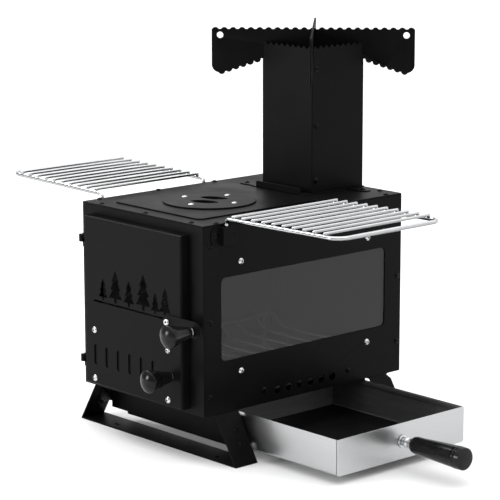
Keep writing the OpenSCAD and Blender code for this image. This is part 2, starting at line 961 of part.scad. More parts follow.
module top_screws() {
    color(black_paint) placed() {
        at_top_screws()
            screw(screw_head_d, screw_head_h, top_screw_l);
        at_ear_screws()
            translate([0, 0, base_t])
                screw(screw_head_d, screw_head_h, top_screw_l);
    }
}

module rear_panel_screws() {
    color(black_paint) placed()
        at_rear_screws()
            screw(screw_head_d, screw_head_h, panel_screw_l);
}

// Door

// The places of the vent slots along X
function vent_xs() = [for (i = [0 : vent_n - 1]) vent_first_x + i * vent_pitch];

// The vent slots as flat outlines in the XZ plane, moved along X
module vents_2d(move) {
    for (x = vent_xs())
        translate([x + move, vent_z])
            rotate(quarter_turn)
                slot_2d(vent_h, vent_w);
}

// One pine tree of three tiers with a trunk, its foot at the origin
module tree_2d(h) {
    w = h * tree_w_share;
    translate([-w * trunk_share / 2, 0])
        square([w * trunk_share, h * tier_low_shares[1]]);
    for (i = [0 : tier_n - 1])
        polygon([
            [-w * tier_w_shares[i] / 2, h * tier_low_shares[i]],
            [w * tier_w_shares[i] / 2, h * tier_low_shares[i]],
            [0, h * tier_tip_shares[i]]
        ]);
}

// The row of trees and the ground line below it
module trees_2d() {
    for (i = [0 : len(tree_x_shares) - 1])
        translate([door_mid_x + tree_x_shares[i] * door_w, door_low + tree_z_share * door_h])
            tree_2d(tree_h_shares[i] * door_h);
    translate([door_mid_x, door_low + tree_z_share * door_h - ground_drop])
        slot_2d(ground_l_share * door_w, ground_h);
}

// Puts a child at each screw of the vent guide, pointing out of the door
module at_door_screws() {
    for (sx = [-1, 1], sz = [-1, 1])
        translate([guide_mid_x + sx * guide_screw_w / 2, door_face_y, guide_z + sz * guide_screw_h / 2])
            rotate([quarter_turn, 0, 0])
                children();
}

// The dished door: a bevelled tray that opens towards the firebox
module door_shell() {
    color(black_paint) placed()
        difference() {
            translate([door_mid_x, 0, door_low + door_h / 2])
                door_block();
            block(
                [door_left + sheet_t, door_inner_y, door_low + sheet_t],
                [door_right - sheet_t, -body_y - door_gap + cut_over, door_high - sheet_t]
            );
            upright(door_face_y - cut_over, sheet_t + 2 * cut_over) {
                vents_2d(0);
                trees_2d();
                translate([knob_x - vent_travel / 2, vent_z])
                    slot_2d(vent_travel + stem_d + 2 * stem_play, stem_d + 2 * stem_play);
            }
            at_door_screws()
                screw_hole(door_screw_l);
            translate([latch_x, door_face_y, latch_z])
                rotate([quarter_turn, 0, 0])
                    cylinder(d = pivot_d + 2 * hole_play, h = 4 * sheet_t, center = true);
        }
}

// The solid of the door with the four edges of its face bevelled
module door_block() {
    w = door_w / 2;
    h = door_h / 2;
    face = door_face_y;
    back = face + door_bevel;
    rim = -body_y - door_gap;
    intersection() {
        translate([0, 0, -h])
            linear_extrude(door_h)
                polygon([
                    [door_bevel - w, face], [w - door_bevel, face], [w, back], [w, rim], [-w, rim], [-w, back]
                ]);
        rotate([quarter_turn, 0, quarter_turn])
            translate([0, 0, -w])
                linear_extrude(door_w)
                    polygon([
                        [face, door_bevel - h], [back, -h], [rim, -h], [rim, h], [back, h], [face, h - door_bevel]
                    ]);
    }
}

module vent_guide() {
    seat_low = door_low + sheet_t + seat_gap;
    seat_high = guide_z + guide_screw_h / 2 + guide_seat_w / 2;
    pan_low = vent_z - guide_pan_h / 2;
    pan_high = vent_z + guide_pan_h / 2;
    left = guide_mid_x - guide_x;
    right = guide_mid_x + guide_x;
    color(black_paint) placed()
        difference() {
            union() {
                block([left, door_inner_y, seat_low], [right, door_inner_y + guide_t, pan_low]);
                block([left, door_inner_y, pan_high], [right, door_inner_y + guide_t, seat_high]);
                block([left, door_inner_y, pan_low - guide_t], [guide_pan_right, guide_pan_y, pan_low]);
                block([left, door_inner_y, pan_high], [guide_pan_right, guide_pan_y, pan_high + guide_t]);
                block(
                    [left, guide_pan_y, pan_low - guide_t],
                    [guide_pan_right, guide_pan_y + guide_t, pan_high + guide_t]
                );
            }
            upright(guide_pan_y - cut_over, guide_t + 2 * cut_over)
                vents_2d(0);
            at_door_screws()
                screw_hole(door_screw_l);
        }
}

module door_screws() {
    color(bright_zinc) placed()
        at_door_screws()
            screw(bright_head_d, bright_head_h, door_screw_l);
}

// The sliding plate, closed: its slots lie half a pitch beside the slots of the door
module vent_slider() {
    color(black_paint) placed()
        difference() {
            block(
                [slider_left, slider_y, vent_z - slider_h / 2],
                [slider_right, slider_y + slider_t, vent_z + slider_h / 2]
            );
            upright(slider_y - cut_over, slider_t + 2 * cut_over)
                vents_2d(vent_travel);
            translate([knob_x, slider_y, vent_z])
                rotate([quarter_turn, 0, 0])
                    cylinder(d = stem_d + 2 * hole_play, h = 4 * slider_t, center = true);
        }
}

// The stem through the door with its two bright washers and its nut
module vent_ferrule() {
    color(bright_zinc) placed()
        translate([knob_x, 0, vent_z])
            rotate([quarter_turn, 0, 0]) {
                translate([0, 0, -slider_y - slider_t - nut_h]) {
                    cylinder(d = stem_d, h = nut_h + slider_t + slider_y - door_face_y + vent_ferrule_h);
                    cylinder(d = nut_d, h = nut_h, $fn = hex_sides);
                }
                translate([0, 0, -door_face_y + seat_gap])
                    cylinder(d = ferrule_d, h = vent_ferrule_h - seat_gap);
            }
}

// A turned grip along +Z: a neck that widens to a rounded, nearly flat end
module door_grip_body() {
    tip = grip_d / 2;
    tip_l = grip_l - grip_dome_h;
    dome_w = tip - grip_round_r;
    dome_r = (grip_dome_h * grip_dome_h + dome_w * dome_w) / (2 * grip_dome_h);
    rotate_extrude() {
        polygon([
            [0, 0], [grip_root_d / 2, 0], [tip * grip_neck_share, tip_l * grip_waist_share],
            [tip, tip_l - grip_round_r], [0, tip_l - grip_round_r]
        ]);
        translate([0, tip_l - 2 * grip_round_r])
            square([dome_w, 2 * grip_round_r]);
        translate([dome_w, tip_l - grip_round_r])
            circle(grip_round_r);
        intersection() {
            translate([0, grip_l - dome_r])
                circle(dome_r);
            translate([0, tip_l - grip_round_r])
                square([dome_w, grip_dome_h + grip_round_r]);
        }
    }
}

module vent_grip() {
    color(bakelite_black) placed()
        translate([knob_x, door_face_y - vent_ferrule_h, vent_z])
            rotate([quarter_turn, 0, 0])
                door_grip_body();
}

// Puts a child on the axis of the latch grip
module at_latch_grip() {
    translate([latch_x + latch_reach, lever_y, latch_z - lever_drop])
        rotate([quarter_turn, 0, 0])
            children();
}

// The curved notch that drops over the stud as the lever swings about its pivot
module lever_notch_2d() {
    w = stud_d + notch_play;
    swing_r = norm([notch_reach, lever_drop]);
    translate([notch_reach, -lever_drop])
        circle(d = w + 2 * hole_play);
    intersection() {
        difference() {
            circle(swing_r + w / 2);
            circle(swing_r - w / 2);
        }
        translate([0, -lever_drop - 2 * lever_end_w])
            square([2 * notch_reach, 2 * lever_end_w]);
    }
}

module latch_lever() {
    end_turn = atan2((lever_end_w - lever_w) / 2, latch_reach);
    color(black_paint) placed()
        difference() {
            translate([latch_x, 0, latch_z])
                rotate([0, end_turn, 0])
                    link(lever_w / 2, lever_end_w / 2, latch_reach + lever_end_shift, lever_y, lever_t);
            translate([latch_x, lever_y, latch_z])
                rotate([quarter_turn, 0, 0])
                    cylinder(d = pivot_d + 2 * pin_play, h = 4 * lever_t, center = true);
            at_latch_grip()
                cylinder(d = stem_d + 2 * hole_play, h = 4 * lever_t, center = true);
            translate([latch_x, 0, latch_z])
                upright(lever_y - cut_over, lever_t + 2 * cut_over)
                    lever_notch_2d();
        }
}

// The bright pivot screw of the lever with its nut inside the door
module latch_pivot() {
    reach_in = sheet_t + seat_gap + nut_h;
    color(bright_zinc) placed()
        translate([latch_x, lever_y - seat_gap, latch_z])
            rotate([quarter_turn, 0, 0]) {
                difference() {
                    intersection() {
                        cylinder(d = pivot_head_d, h = pivot_head_h);
                        sphere(pivot_head_d / 2);
                    }
                    translate([0, 0, pivot_head_h * (1 - socket_depth_share)])
                        cylinder(d = pivot_head_d * socket_d_share, h = pivot_head_h, $fn = hex_sides);
                }
                translate([0, 0, -reach_in - lever_t - seat_gap]) {
                    cylinder(d = pivot_d, h = reach_in + lever_t + 2 * seat_gap);
                    cylinder(d = nut_d, h = nut_h, $fn = hex_sides);
                }
            }
}

module latch_ferrule() {
    color(bright_zinc) placed()
        at_latch_grip() {
            translate([0, 0, -lever_t])
                cylinder(d = stem_d, h = lever_t + ferrule_h);
            cylinder(d = ferrule_d, h = ferrule_h);
        }
}

module latch_grip() {
    color(bakelite_black) placed()
        at_latch_grip()
            translate([0, 0, ferrule_h])
                door_grip_body();
}

// The stud on the front panel that the notch of the lever drops over
module keeper_stud() {
    neck_l = -body_y - lever_y + stud_tip_h;
    color(steel_grey) placed()
        translate([latch_x + notch_reach, -body_y, stud_z])
            rotate([quarter_turn, 0, 0]) {
                cylinder(d = stud_foot_d, h = stud_foot_h);
                translate([0, 0, -panel_screw_l])
                    cylinder(d = screw_d, h = panel_screw_l + seat_gap);
                cylinder(d = stud_d, h = neck_l);
                translate([0, 0, neck_l])
                    dome(stud_d, stud_tip_h);
            }
}

// The half of each hinge that is welded to the front panel
module hinge_brackets() {
    color(black_paint) placed()
        for (z = hinge_zs)
            difference() {
                union() {
                    translate([hinge_x, hinge_y, z - hinge_l - seat_gap])
                        cylinder(d = hinge_d, h = hinge_l);
                    block(
                        [hinge_x - hinge_strap_t / 2, hinge_y, z - hinge_l - seat_gap],
                        [hinge_x + hinge_strap_t / 2, -body_y, z - seat_gap]
                    );
                    block(
                        [-body_x, -body_y - hinge_foot_t, z - hinge_foot_l],
                        [door_left - sheet_t, -body_y, z + hinge_l]
                    );
                }
                translate([hinge_x, hinge_y, z - hinge_foot_l - cut_over])
                    cylinder(d = hinge_bore, h = 2 * hinge_foot_l + 2 * cut_over);
            }
}

// The half of each hinge that is welded to the rim of the door
module door_knuckles() {
    color(black_paint) placed()
        for (z = hinge_zs)
            difference() {
                union() {
                    translate([hinge_x, hinge_y, z + seat_gap])
                        cylinder(d = hinge_d, h = hinge_l);
                    block(
                        [hinge_x, hinge_y - hinge_strap_t / 2, z + seat_gap],
                        [door_left, hinge_y + hinge_strap_t / 2, z + seat_gap + hinge_l]
                    );
                }
                translate([hinge_x, hinge_y, z - cut_over])
                    cylinder(d = hinge_bore, h = hinge_l + 2 * cut_over);
            }
}

module hinge_pins() {
    color(steel_grey) placed()
        for (z = hinge_zs)
            translate([hinge_x, hinge_y, z]) {
                translate([0, 0, -hinge_l - seat_gap])
                    cylinder(d = hinge_pin_d, h = 2 * hinge_l + 3 * seat_gap);
                translate([0, 0, hinge_l + 2 * seat_gap])
                    cylinder(d = hinge_pin_d * 1.7, h = hinge_head_h);
            }
}

// Legs

// Half width of the outside of the strip at a height above the floor
function strip_x(z) = foot_x - z * tan(splay);

// The bent strip seen from the front: foot, two splayed sides and two tabs under the firebox
module strip_2d() {
    tab_x = body_x - strip_tab_l;
    low_in = strip_x(strip_t) - strip_side_t;
    high_in = strip_x(leg_h - strip_t) - strip_side_t;
    polygon([
        [-foot_x, 0], [foot_x, 0], [body_x, leg_h], [tab_x, leg_h], [tab_x, leg_h - strip_t],
        [high_in, leg_h - strip_t], [low_in, strip_t], [-low_in, strip_t], [-high_in, leg_h - strip_t],
        [-tab_x, leg_h - strip_t], [-tab_x, leg_h], [-body_x, leg_h]
    ]);
}

// Puts a child at each screw through the splayed sides of the front leg, pointing outwards
module at_leg_screws() {
    for (side = [-1, 1], k = leg_screw_z_shares)
        translate([side * strip_x(k * leg_h), strip_back - leg_screw_back, k * leg_h])
            rotate([0, side * (quarter_turn - splay), 0])
                children();
}

// Puts a child at each screw through the cap flanges of both aprons, pointing down
module at_apron_screws() {
    for (m = [-1, 1], s = [-1, 1])
        translate([s * apron_cap_l / 3, m * (-apron_front + apron_cap_w / 2), floor_z - apron_t])
            mirror([0, 0, 1])
                children();
}

module leg_frame() {
    difference() {
        upright(strip_front, strip_w)
            strip_2d();
        at_leg_screws()
            screw_hole(leg_screw_l);
        for (s = [-1, 1])
            translate([foot_hole_x + s * foot_hole_gap / 2, strip_front + strip_w / 3, -cut_over])
                linear_extrude(strip_t + 2 * cut_over)
                    slot_2d(foot_hole_l, foot_hole_w);
    }
}

// The corner chamfers at the top of the rear leg, cut through both sides
module leg_chamfers() {
    for (side = [-1, 1])
        translate([side * (body_x + strip_t), strip_front, leg_h])
            rotate([0, quarter_turn, 0])
                rotate(diagonal_turn)
                    cube([strip_chamfer * sqrt(2), strip_chamfer * sqrt(2), strip_side_t * 4], center = true);
}

// The cross plate of one leg frame, with folded ends, a rail for the drawer and a cap under the firebox
module apron() {
    low = apron_rise;
    high = leg_h;
    low_x = strip_x(low) - strip_side_t;
    high_x = strip_x(high) - strip_side_t;
    relief_h = (high - low) * relief_share;
    difference() {
        union() {
            upright(apron_front, apron_t)
                polygon([[-low_x, low], [low_x, low], [high_x, high], [-high_x, high]]);
            for (side = [-1, 1])
                mirror([side < 0 ? 1 : 0, 0, 0])
                    translate([0, apron_back, 0])
                        rotate([quarter_turn, 0, 0])
                            linear_extrude(apron_fold_w)
                                polygon([
                                    [low_x, low], [high_x, high],
                                    [high_x - apron_t / cos(splay), high], [low_x - apron_t / cos(splay), low]
                                ]);
            block([-rail_l / 2, apron_front, rail_z], [rail_l / 2, apron_back + rail_w, rail_z + apron_t]);
            block([-rail_l / 2, apron_front, rail_z], [rail_l / 2, apron_back, low]);
            block(
                [-apron_cap_l / 2, apron_front - apron_cap_w, high - apron_t],
                [apron_cap_l / 2, apron_front, high]
            );
        }
        at_leg_screws()
            screw_hole(leg_screw_l);
        at_apron_screws()
            screw_hole(leg_screw_l);
        for (side = [-1, 1], z = [low, high - relief_h])
            translate([side * (strip_x(z + relief_h / 2) - strip_side_t), apron_back, z + relief_h / 2])
                cube([2 * relief_h, 2 * apron_fold_w + 2 * cut_over, relief_h + cut_over], center = true);
    }
}

module front_leg() {
    color(black_paint) placed()
        leg_frame();
}

module rear_leg() {
    color(black_paint) placed()
        mirror([0, 1, 0])
            difference() {
                leg_frame();
                leg_chamfers();
            }
}

module front_apron() {
    color(black_paint) placed()
        apron();
}

module rear_apron() {
    color(black_paint) placed()
        mirror([0, 1, 0])
            apron();
}

module leg_screws() {
    color(black_paint) placed() {
        for (m = [0, 1])
            mirror([0, m, 0])
                at_leg_screws()
                    screw(screw_head_d, screw_head_h, leg_screw_l);
        at_apron_screws()
            screw(screw_head_d, screw_head_h, leg_screw_l - sheet_t);
    }
}

// Ash drawer

module ash_drawer() {
    half = drawer_w / 2;
    color(steel_grey) placed()
        difference() {
            intersection() {
                block([drawer_back, -half, drawer_z], [drawer_x, half, drawer_top]);
                translate([drawer_back, 0, drawer_top])
                    rotate([quarter_turn, 0, quarter_turn])
                        linear_extrude(drawer_l)
                            rounded_2d(drawer_w, 2 * drawer_h, drawer_corner_r);
            }
            block(
                [drawer_back + drawer_t, -half + drawer_t, drawer_z + drawer_t],
                [drawer_x - drawer_t, half - drawer_t, drawer_top + cut_over]
            );
            translate([drawer_x, 0, drawer_mid_z])
                outwards(1)
                    cylinder(d = screw_d + 2 * hole_play, h = 4 * drawer_t, center = true);
        }
}

// The bright post between the drawer and its grip
module drawer_post() {
    color(bright_zinc) placed()
        translate([drawer_x, 0, drawer_mid_z])
            outwards(1) {
                cylinder(d = post_flange_d, h = post_flange_h);
                cylinder(d = post_d, h = drawer_post_l);
                translate([0, 0, drawer_post_l - post_ring_h])
                    cylinder(d = post_ring_d, h = post_ring_h);
                translate([0, 0, (drawer_post_l - post_ring_h) / 2])
                    cylinder(d = post_ring_d, h = post_ring_h);
                translate([0, 0, -drawer_t - nut_h]) {
                    cylinder(d = screw_d, h = drawer_t + nut_h + seat_gap);
                    cylinder(d = nut_d, h = nut_h, $fn = hex_sides);
                }
            }
}

module drawer_grip() {
    root = drawer_grip_root_d / 2;
    tip = drawer_grip_d / 2;
    color(bakelite_black) placed()
        translate([drawer_x + drawer_post_l, 0, drawer_mid_z])
            outwards(1)
                rotate_extrude() {
                    polygon([
                        [0, 0], [root - grip_chamfer, 0], [root, grip_chamfer],
                        [tip, drawer_grip_l - grip_stub], [tip, drawer_grip_l - grip_tip_r],
                        [0, drawer_grip_l - grip_tip_r]
                    ]);
                    translate([0, drawer_grip_l - 2 * grip_tip_r])
                        square([tip - grip_tip_r, 2 * grip_tip_r]);
                    translate([tip - grip_tip_r, drawer_grip_l - grip_tip_r])
                        circle(grip_tip_r);
                }
}

// Side racks

// One rack on the right side: two side wires joined by an outer wire, with cross rods on top
module rack() {
    translate([rack_x, rack_first_y, rack_z])
        rotate([0, -rack_tilt, 0]) {
            for (m = [0, 1])
                translate([0, m * rack_w, 0]) {
                    wire([0, 0, -rack_drop], [0, 0, -rack_bend_r], wire_r);
                    translate([rack_bend_r, 0, -rack_bend_r])
                        mirror([1, 0, 0])
                            rotate([quarter_turn, 0, 0])
                                rotate_extrude(angle = quarter_turn)
                                    translate([rack_bend_r, 0])
                                        circle(wire_r);
                }
            rack_plane();
        }
}

// The flat part of a rack, from the bends to the outer wire
module rack_plane() {
    for (m = [0, 1])
        translate([0, m * rack_w, 0])
            wire([rack_bend_r, 0, 0], [rack_l - rack_corner_r, 0, 0], wire_r);
    wire([rack_l, rack_corner_r, 0], [rack_l, rack_w - rack_corner_r, 0], wire_r);
    for (m = [0, 1])
        translate([rack_l - rack_corner_r, m * rack_w + (1 - 2 * m) * rack_corner_r, 0])
            rotate((m - 1) * quarter_turn)
                rotate_extrude(angle = quarter_turn)
                    translate([rack_corner_r, 0])
                        circle(wire_r);
    for (i = [0 : rod_n - 1])
        translate([rod_start + i * rod_pitch, 0, wire_r + rod_d / 2 - seat_gap]) {
            wire([0, 0, 0], [0, rack_w, 0], rod_d / 2);
            for (y = [0, rack_w])
                translate([0, y, 0])
                    sphere(rod_d / 2);
        }
}

module right_rack() {
    color(steel_grey) placed()
        rack();
}

module left_rack() {
    color(steel_grey) placed()
        mirror([1, 0, 0])
            rack();
}

// One bracket: a flat strap with round ends and a closed well for the wire end
module bracket() {
    difference() {
        union() {
            outwards(1)
                linear_extrude(bracket_t)
                    rounded_2d(bracket_h, bracket_l, bracket_r);
            block(
                [0, -bracket_well / 2 - bracket_t, -bracket_h / 2],
                [bracket_stand + bracket_t, bracket_well / 2 + bracket_t, bracket_h / 2]
            );
        }
        block(
            [-cut_over, -bracket_well / 2, -bracket_h / 2 + bracket_t],
            [bracket_stand, bracket_well / 2, bracket_h / 2 + cut_over]
        );
        for (s = [-1, 1])
            translate([0, s * bracket_screw_gap / 2, 0])
                outwards(1)
                    screw_hole(bracket_screw_l);
    }
}

module rack_brackets(side) {
    color(black_paint) placed()
        mirror([side < 0 ? 1 : 0, 0, 0])
            for (m = [0, 1])
                translate([body_x, rack_first_y + m * rack_w, bracket_z])
                    bracket();
}

module bracket_screws() {
    color(black_paint) placed()
        for (side = [-1, 1])
            at_bracket_screws(side)
                translate([0, 0, bracket_t])
                    screw(screw_head_d, screw_head_h, bracket_screw_l);
}

// Flue tower and pot stand

// Puts a child at each screw of the two ears of the tower base
module at_ear_screws() {
    for (p = [ear_left, ear_right])
        translate([p[0], p[1], top_z])
            children();
}

module tower_base() {
    half = tower_x + base_flange;
    color(black_paint) placed()
        difference() {
            union() {
                block([-half, base_lip_y, top_z], [half, body_y - sheet_t, tower_low]);
                translate([0, 0, top_z])
                    upright(base_lip_y, base_t) {
                        translate([-base_lip_x, 0])
                            square([2 * base_lip_x, base_lip_h - lip_r]);
                        translate([-base_lip_x + lip_r, 0])
                            square([2 * (base_lip_x - lip_r), base_lip_h]);
                        for (s = [-1, 1])
                            translate([s * (base_lip_x - lip_r), base_lip_h - lip_r])
                                circle(lip_r);
                    }
                for (p = [ear_left, ear_right])
                    translate([0, p[1], top_z])
                        linear_extrude(base_t) {
                            translate([p[0], 0])
                                circle(d = ear_w);
                            translate([p[0] / 2, 0])
                                square([abs(p[0]), ear_w], center = true);
                        }
            }
            flue_cut(top_z, base_t);
            at_ear_screws()
                screw_hole(top_screw_l);
        }
}

// The flat outline of one tower side with teeth on its upper edge
module tower_side_2d(w) {
    pitch = w / tooth_n;
    square([w, tower_high - tower_low - tooth_h]);
    for (i = [0 : tooth_n - 1])
        translate([i * pitch, tower_high - tower_low - tooth_h - seat_gap])
            polygon([[0, 0], [pitch, 0], [pitch / 2, tooth_h + seat_gap]]);
}

// The vertical slots at the four corners that hold the pot stand
module stand_slots() {
    for (t = [diagonal_turn, -diagonal_turn])
        translate([0, tower_mid_y, 0])
            rotate(t)
                translate([0, 0, stand_slot_z + stand_h / 2])
                    cube([stand_l, stand_t + 2 * stand_play, stand_h], center = true);
}

// Puts a child at each screw of the tower sides, pointing out of the right and left sides
module at_tower_screws() {
    for (side = [-1, 1], k = tower_screw_z_shares)
        translate([side * tower_x, tower_mid_y - tower_x + tower_screw_inset, top_z + k * tower_h])
            outwards(side)
                children();
}

// A front or rear tower side with flanges folded back inside the left and right sides
module tower_end(back) {
    in_x = tower_x - tower_t;
    color(black_paint) placed()
        difference() {
            translate([0, tower_mid_y, 0])
                mirror([0, back, 0]) {
                    translate([-tower_x, -tower_x + tower_t, tower_low])
                        rotate([quarter_turn, 0, 0])
                            linear_extrude(tower_t)
                                tower_side_2d(tower_w);
                    for (s = [-1, 1])
                        mirror([s < 0 ? 1 : 0, 0, 0])
                            block(
                                [in_x - tower_t, -in_x, tower_low],
                                [in_x, -in_x + tower_flange_w, tower_high - tooth_h]
                            );
                }
            stand_slots();
            at_tower_screws()
                screw_hole(panel_screw_l);
        }
}

module tower_flank(side) {
    in_x = tower_x - tower_t;
    color(black_paint) placed()
        difference() {
            translate([side * (tower_x - tower_t / 2) - tower_t / 2, tower_mid_y - in_x, tower_low])
                rotate([quarter_turn, 0, quarter_turn])
                    linear_extrude(tower_t)
                        tower_side_2d(2 * in_x);
            stand_slots();
            at_tower_screws()
                screw_hole(panel_screw_l);
        }
}

module tower_screws() {
    color(black_paint) placed()
        at_tower_screws()
            screw(screw_head_d, screw_head_h, panel_screw_l - sheet_t);
}

// The flat outline of a pot stand plate about its middle, with heights above the floor
module stand_2d() {
    half = stand_l / 2;
    wave_n = floor(half / wave_pitch);
    slope_l = half - stand_corner_r - stand_neck_u;
    slope_n = floor(slope_l / wave_pitch * 1.1);
    difference() {
        union() {
            polygon([
                [-half, stand_low + stand_corner_r], [-half + stand_corner_r, stand_low],
                [-half + 2 * stand_corner_r, stand_low + wave_h],
                [-stand_neck_u - wave_h, stand_neck_z], [stand_neck_u + wave_h, stand_neck_z],
                [half - 2 * stand_corner_r, stand_low + wave_h],
                [half - stand_corner_r, stand_low], [half, stand_low + stand_corner_r],
                [half, stand_top - wave_h], [-half, stand_top - wave_h]
            ]);
            for (s = [-1, 1]) {
                translate([s * (half - stand_corner_r), stand_low + stand_corner_r])
                    circle(stand_corner_r);
                for (i = [0 : slope_n])
                    translate([
                        s * (half - stand_corner_r - wave_h - i * slope_l / (slope_n + 1)),
                        stand_low + bump_r / 2 + i * (stand_neck_z - stand_low) / (slope_n + 1)
                    ])
                        circle(bump_r);
            }
            for (i = [-wave_n : wave_n])
                translate([i * wave_pitch, stand_top - bump_r])
                    circle(bump_r);
        }
        for (s = [-1, 1])
            translate([s * (half - stand_bore * 1.3), stand_top - stand_bore * 1.2])
                circle(d = stand_bore);
    }
}

// One pot stand plate along a diagonal of the tower, with its half of the crossing slot
module stand_plate(turn, from_top) {
    mid = (stand_top - wave_h + stand_neck_z) / 2;
    gap = stand_t + 2 * stand_play;
    color(black_paint) placed()
        translate([0, tower_mid_y, 0])
            rotate(turn)
                difference() {
                    upright(-stand_t / 2, stand_t)
                        stand_2d();
                    if (from_top)
                        block([-gap / 2, -stand_t, mid - seat_gap], [gap / 2, stand_t, stand_top + cut_over]);
                    else
                        block([-gap / 2, -stand_t, stand_low], [gap / 2, stand_t, mid + seat_gap]);
                }
}

front_panel();
rear_panel();
side_panel(1);  // right_panel
side_panel(-1);  // left_panel
base_panel();
top_frame();
cook_plate();
cooking_lid();
lid_disc();
lid_rivets();
fire_grate();
glass(1);  // right_glass
glass(-1);  // left_glass
retainer(1, 1);  // right_retainer_upper
retainer(1, -1);  // right_retainer_lower
retainer(-1, 1);  // left_retainer_upper
retainer(-1, -1);  // left_retainer_lower
window_screws();
panel_screws(1);  // right_panel_screws
panel_screws(-1);  // left_panel_screws
top_screws();
rear_panel_screws();
door_shell();
vent_guide();
door_screws();
vent_slider();
vent_ferrule();
vent_grip();
latch_lever();
latch_pivot();
latch_ferrule();
latch_grip();
keeper_stud();
hinge_brackets();
hinge_pins();
door_knuckles();
front_leg();
front_apron();
rear_leg();
rear_apron();
leg_screws();
ash_drawer();
drawer_post();
drawer_grip();
right_rack();
left_rack();
rack_brackets(1);  // right_rack_brackets
rack_brackets(-1);  // left_rack_brackets
bracket_screws();
tower_base();
tower_end(0);  // tower_front
tower_end(1);  // tower_rear
tower_flank(-1);  // tower_left
tower_flank(1);  // tower_right
tower_screws();
stand_plate(diagonal_turn, true);  // stand_plate_lower
stand_plate(-diagonal_turn, false);  // stand_plate_upper
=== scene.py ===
"""Portable wood stove: black coated sheet steel, bright wire racks, steel ash drawer and black turned grips.

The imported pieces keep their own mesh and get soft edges. The grips, the post, the racks and the drawer are
computed surfaces with the sizes of the solids that they stand for.
"""

import json
import math

import bpy
import numpy as np
from mathutils import Matrix, Vector


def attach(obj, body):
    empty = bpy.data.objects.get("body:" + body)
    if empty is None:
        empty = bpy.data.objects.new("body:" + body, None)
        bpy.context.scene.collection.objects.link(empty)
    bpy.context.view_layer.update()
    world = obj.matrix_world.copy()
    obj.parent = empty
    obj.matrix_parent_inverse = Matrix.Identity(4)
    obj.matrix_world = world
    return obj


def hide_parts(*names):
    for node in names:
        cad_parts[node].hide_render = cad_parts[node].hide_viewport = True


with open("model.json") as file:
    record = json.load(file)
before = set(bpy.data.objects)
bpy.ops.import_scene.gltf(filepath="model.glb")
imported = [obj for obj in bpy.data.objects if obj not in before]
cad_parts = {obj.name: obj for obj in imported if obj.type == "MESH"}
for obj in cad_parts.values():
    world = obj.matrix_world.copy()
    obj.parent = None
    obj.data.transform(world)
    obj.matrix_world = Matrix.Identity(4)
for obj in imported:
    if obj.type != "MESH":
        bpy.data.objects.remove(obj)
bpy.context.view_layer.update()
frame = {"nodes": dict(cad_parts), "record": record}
NODES = frame["nodes"]
MM = 0.001
TAU = 2 * math.pi


# Materials


def new_group(name, inputs, outputs):
    """An empty shader group with named float inputs and named outputs."""
    tree = bpy.data.node_groups.new(name, "ShaderNodeTree")
    for label, value in inputs:
        socket = tree.interface.new_socket(label, in_out="INPUT", socket_type="NodeSocketFloat")
        socket.default_value = value
    for label, kind in outputs:
        tree.interface.new_socket(label, in_out="OUTPUT", socket_type=kind)
    return tree, tree.nodes.new("NodeGroupInput"), tree.nodes.new("NodeGroupOutput")


def add(tree, kind, **values):
    """A node of that kind, with its attributes and input values set."""
    node = tree.nodes.new(kind)
    for key, value in values.items():
        if key in node.inputs:
            node.inputs[key].default_value = value
        else:
            setattr(node, key, value)
    return node


def ramp(tree, source, low, high, start=0.3, end=0.7):
    """A value or colour that goes from low to high as the source goes from start to end."""
    if isinstance(low, (int, float)):
        node = add(tree, "ShaderNodeMapRange")
        node.inputs["From Min"].default_value = start
        node.inputs["From Max"].default_value = end
        node.inputs["To Min"].default_value = low
        node.inputs["To Max"].default_value = high
        tree.links.new(source, node.inputs["Value"])
        return node.outputs["Result"]
    node = add(tree, "ShaderNodeValToRGB")
    node.color_ramp.elements[0].position = start
    node.color_ramp.elements[1].position = end
    node.color_ramp.elements[0].color = (*low, 1.0)
    node.color_ramp.elements[1].color = (*high, 1.0)
    tree.links.new(source, node.inputs["Fac"])
    return node.outputs["Color"]


def coat_grain_group():
    """Powder coat: a fine pebbled height, a slow cloudy mask and a sparse mask of dust specks."""
    tree, gin, gout = new_group(
        "coat_grain",
        [("Pebble Scale", 900.0), ("Cloud Scale", 14.0)],
        [("Height", "NodeSocketFloat"), ("Cloud", "NodeSocketFloat"), ("Dust", "NodeSocketFloat")],
    )
    link = tree.links.new
    place = add(tree, "ShaderNodeTexCoord")
    pebble = add(tree, "ShaderNodeTexNoise", Detail=3.0, Roughness=0.6)
    cloud = add(tree, "ShaderNodeTexNoise", Detail=5.0, Roughness=0.55)
    speck = add(tree, "ShaderNodeTexVoronoi", Scale=260.0)
    both = add(tree, "ShaderNodeMath", operation="MULTIPLY")
    for node in (pebble, cloud, speck):
        link(place.outputs["Object"], node.inputs["Vector"])
    link(gin.outputs["Pebble Scale"], pebble.inputs["Scale"])
    link(gin.outputs["Cloud Scale"], cloud.inputs["Scale"])
    link(ramp(tree, speck.outputs["Distance"], 0.0, 1.0, 0.06, 0.02), both.inputs[0])
    link(ramp(tree, speck.outputs["Color"], 0.0, 1.0, 0.86, 0.92), both.inputs[1])
    link(pebble.outputs["Fac"], gout.inputs["Height"])
    link(cloud.outputs["Fac"], gout.inputs["Cloud"])
    link(both.outputs["Value"], gout.inputs["Dust"])
    return tree


